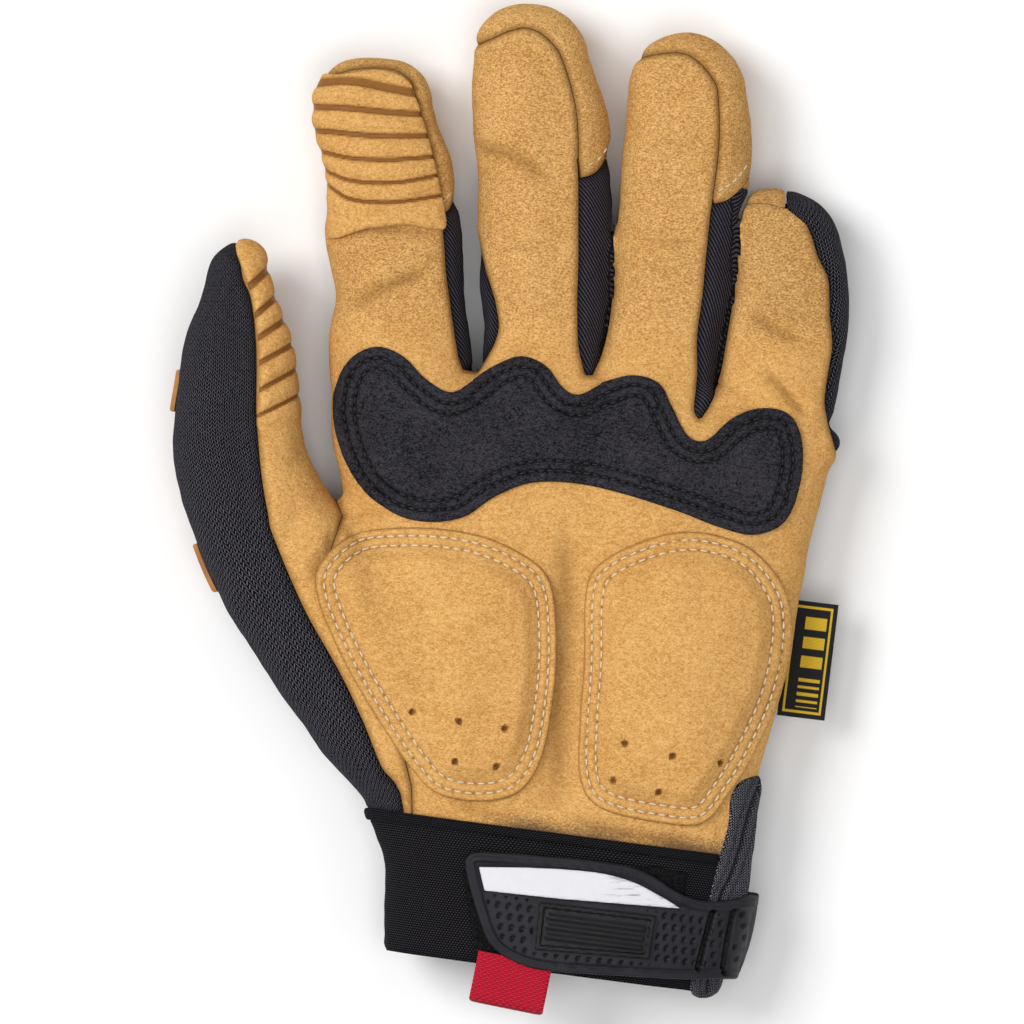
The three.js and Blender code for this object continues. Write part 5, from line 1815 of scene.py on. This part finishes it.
class GLOVE_OT_label(Operator):
    """Lays the woven label along the side seam"""

    bl_idname = "glove.label"
    bl_label = "Side label"

    def execute(self, context):
        """A flat band along the seam with plain bars inside a thin frame."""
        run = np.linspace(-LABEL_HEIGHT / 2, LABEL_HEIGHT / 2, 141)
        path, normals = columns(run, 0 * run), columns(0 * run, 1 + 0 * run)
        points, faces, weave = ribbon(path, normals, LABEL_WIDTH / 2, 0.42, 90)
        x, y, z = points.T
        edge = np.minimum(LABEL_WIDTH / 2 - np.abs(x), LABEL_HEIGHT / 2 - np.abs(y))
        frame_line = (edge > 1.15) & (edge < 1.6)
        in_bars = np.abs(x - 0.9) < 2.6
        thick_bars = in_bars & (y > -2) & (y < 11.5) & ((y + 2) % 4.7 < 2.9)
        thin_bars = in_bars & (y < -4) & (y > -11.6) & ((y + 12) % 1.7 < 0.7)
        ink = np.where((z > 0) & (frame_line | thick_bars | thin_bars), 1.0, 0.0)
        points[:, 2] += 0.5 * np.sin(y * 0.16 + 0.5) * ease(x, -5, 6) - 0.02 * (x + 6) ** 2 * 0.2
        place = (*palm(*LABEL_PLACE), SEAM_HEIGHT + PALM_DEPTH * 0.16)
        points = turned(points, -LABEL_TILT, place)
        finish = woven_label("woven_label", (0.012, 0.012, 0.014), (0.8, 0.52, 0.03))
        make("side_label_cloth", points, faces, finish, "label_cloth", ["side_label"],
             weave=weave, ink=ink)
        return {"FINISHED"}


class GLOVE_OT_stitching(Operator):
    """Sews the cream rows on the pads and hems and the black rows on the patch"""

    bl_idname = "glove.stitching"
    bl_label = "Stitching"

    def execute(self, context):
        cream = thread("cream_thread", looks().thread, dimmed(looks().thread, 0.72))
        black = thread("black_thread", (0.03, 0.03, 0.034), (0.006, 0.006, 0.007))
        rows = []
        for outline in (THENAR, HEEL):
            for way_in, lift in zip(PAD_ROWS, (0.98, 1.0)):
                rows.append(stitches(closed(inwards(outline, way_in)), GAP + lift))
        make("pad_stitches", *merged(rows), cream, "pad_suede")
        rows = [
            stitches(closed(inwards(PATCH, way_in)), GAP + 1.0, 2.2, 1.7, 0.45)
            for way_in in PATCH_ROWS
        ]
        make("patch_stitches", *merged(rows), black, "patch_suede")
        hems = [
            [(441, 204), (446, 199), (451, 192)],
            [(586, 166), (594, 163), (602, 155), (607, 146)],
            [(717, 192), (728, 186), (738, 177), (747, 164)],
        ]
        rows = [stitches(photo_line(hem), 0.15, 2.1, 1.5, 0.42) for hem in hems]
        make("hem_stitches", *merged(rows), cream, "palm_suede")
        return {"FINISHED"}


class GLOVE_OT_stage(Operator):
    """Sets the pale floor, the soft studio light and the camera above the glove"""

    bl_idname = "glove.stage"
    bl_label = "Stage"

    def execute(self, context):
        scene = context.scene
        self.floor(scene)
        self.light(scene, "key", (-1.0, 0.5, 1.5), 0.8, 20)
        self.light(scene, "overhead", (0, -0.3, 1.6), 0.9, 9)
        self.light(scene, "right_fill", (1.2, -0.3, 1.2), 0.8, 2.5)
        scene.view_settings.view_transform = "Standard"
        world = scene.world or bpy.data.worlds.new("room")
        scene.world = world
        world.use_nodes = True
        ground = world.node_tree.nodes["Background"]
        ground.inputs["Color"].default_value = (1, 1, 1, 1)
        ground.inputs["Strength"].default_value = 0.36
        middle = pixels((PHOTO_MIDDLE, PHOTO_MIDDLE))[0]
        middle = (np.array([*middle, 15]) + PLAN_SHIFT) / 1000
        data = bpy.data.cameras.new("camera")
        data.lens, data.sensor_width = 900, 36
        camera = bpy.data.objects.new("camera", data)
        scene.collection.objects.link(camera)
        across = PHOTO_SCALE / 1000 * 2 * PHOTO_MIDDLE
        camera.location = middle + (0, 0, across * data.lens / data.sensor_width)
        data.clip_end = 20
        scene.camera = camera
        return {"FINISHED"}

    @staticmethod
    def floor(scene):
        """A square plane at the height on which the glove rests."""
        corners = [(-3, -3, 0), (3, -3, 0), (3, 3, 0), (-3, 3, 0)]
        mesh = bpy.data.meshes.new("floor")
        mesh.from_pydata(corners, [], [(0, 1, 2, 3)])
        floor = bpy.data.objects.new("floor", mesh)
        scene.collection.objects.link(floor)
        finish = Finish("floor_paper", 0.95)
        colour = finish.mix(finish.noise(40, 2), (0.93, 0.93, 0.93), (0.96, 0.96, 0.96))
        mesh.materials.append(finish.done(colour))

    @staticmethod
    def light(scene, name, place, size, power):
        data = bpy.data.lights.new(name, "AREA")
        data.size, data.energy = size, power
        light = bpy.data.objects.new(name, data)
        light.location = place
        light.rotation_euler = Vector(place).to_track_quat("Z", "Y").to_euler()
        scene.collection.objects.link(light)


class GLOVE_PT_sidebar(Panel):
    bl_label = "Mechanic glove"
    bl_idname = "GLOVE_PT_sidebar"
    bl_space_type = "VIEW_3D"
    bl_region_type = "UI"
    bl_category = "Glove"

    def draw(self, context):
        for setting in GLOVE_PG_looks.__annotations__:
            self.layout.prop(context.scene.glove_looks, setting)
        for step in STEPS:
            self.layout.operator(step.bl_idname)


STEPS = (
    GLOVE_OT_shell,
    GLOVE_OT_patch,
    GLOVE_OT_pads,
    GLOVE_OT_grips,
    GLOVE_OT_guard,
    GLOVE_OT_cuff_trim,
    GLOVE_OT_closure,
    GLOVE_OT_tab,
    GLOVE_OT_label,
    GLOVE_OT_stitching,
    GLOVE_OT_stage,
)
CLASSES = (GLOVE_PG_looks, *STEPS, GLOVE_PT_sidebar)


def register():
    for each in CLASSES:
        bpy.utils.register_class(each)
    bpy.types.Scene.glove_looks = PointerProperty(type=GLOVE_PG_looks)


def unregister():
    del bpy.types.Scene.glove_looks
    for each in reversed(CLASSES):
        bpy.utils.unregister_class(each)


def main():
    register()
    for step in STEPS:
        group, action = step.bl_idname.split(".")
        getattr(getattr(bpy.ops, group), action)()


if __name__ == "__main__":
    main()
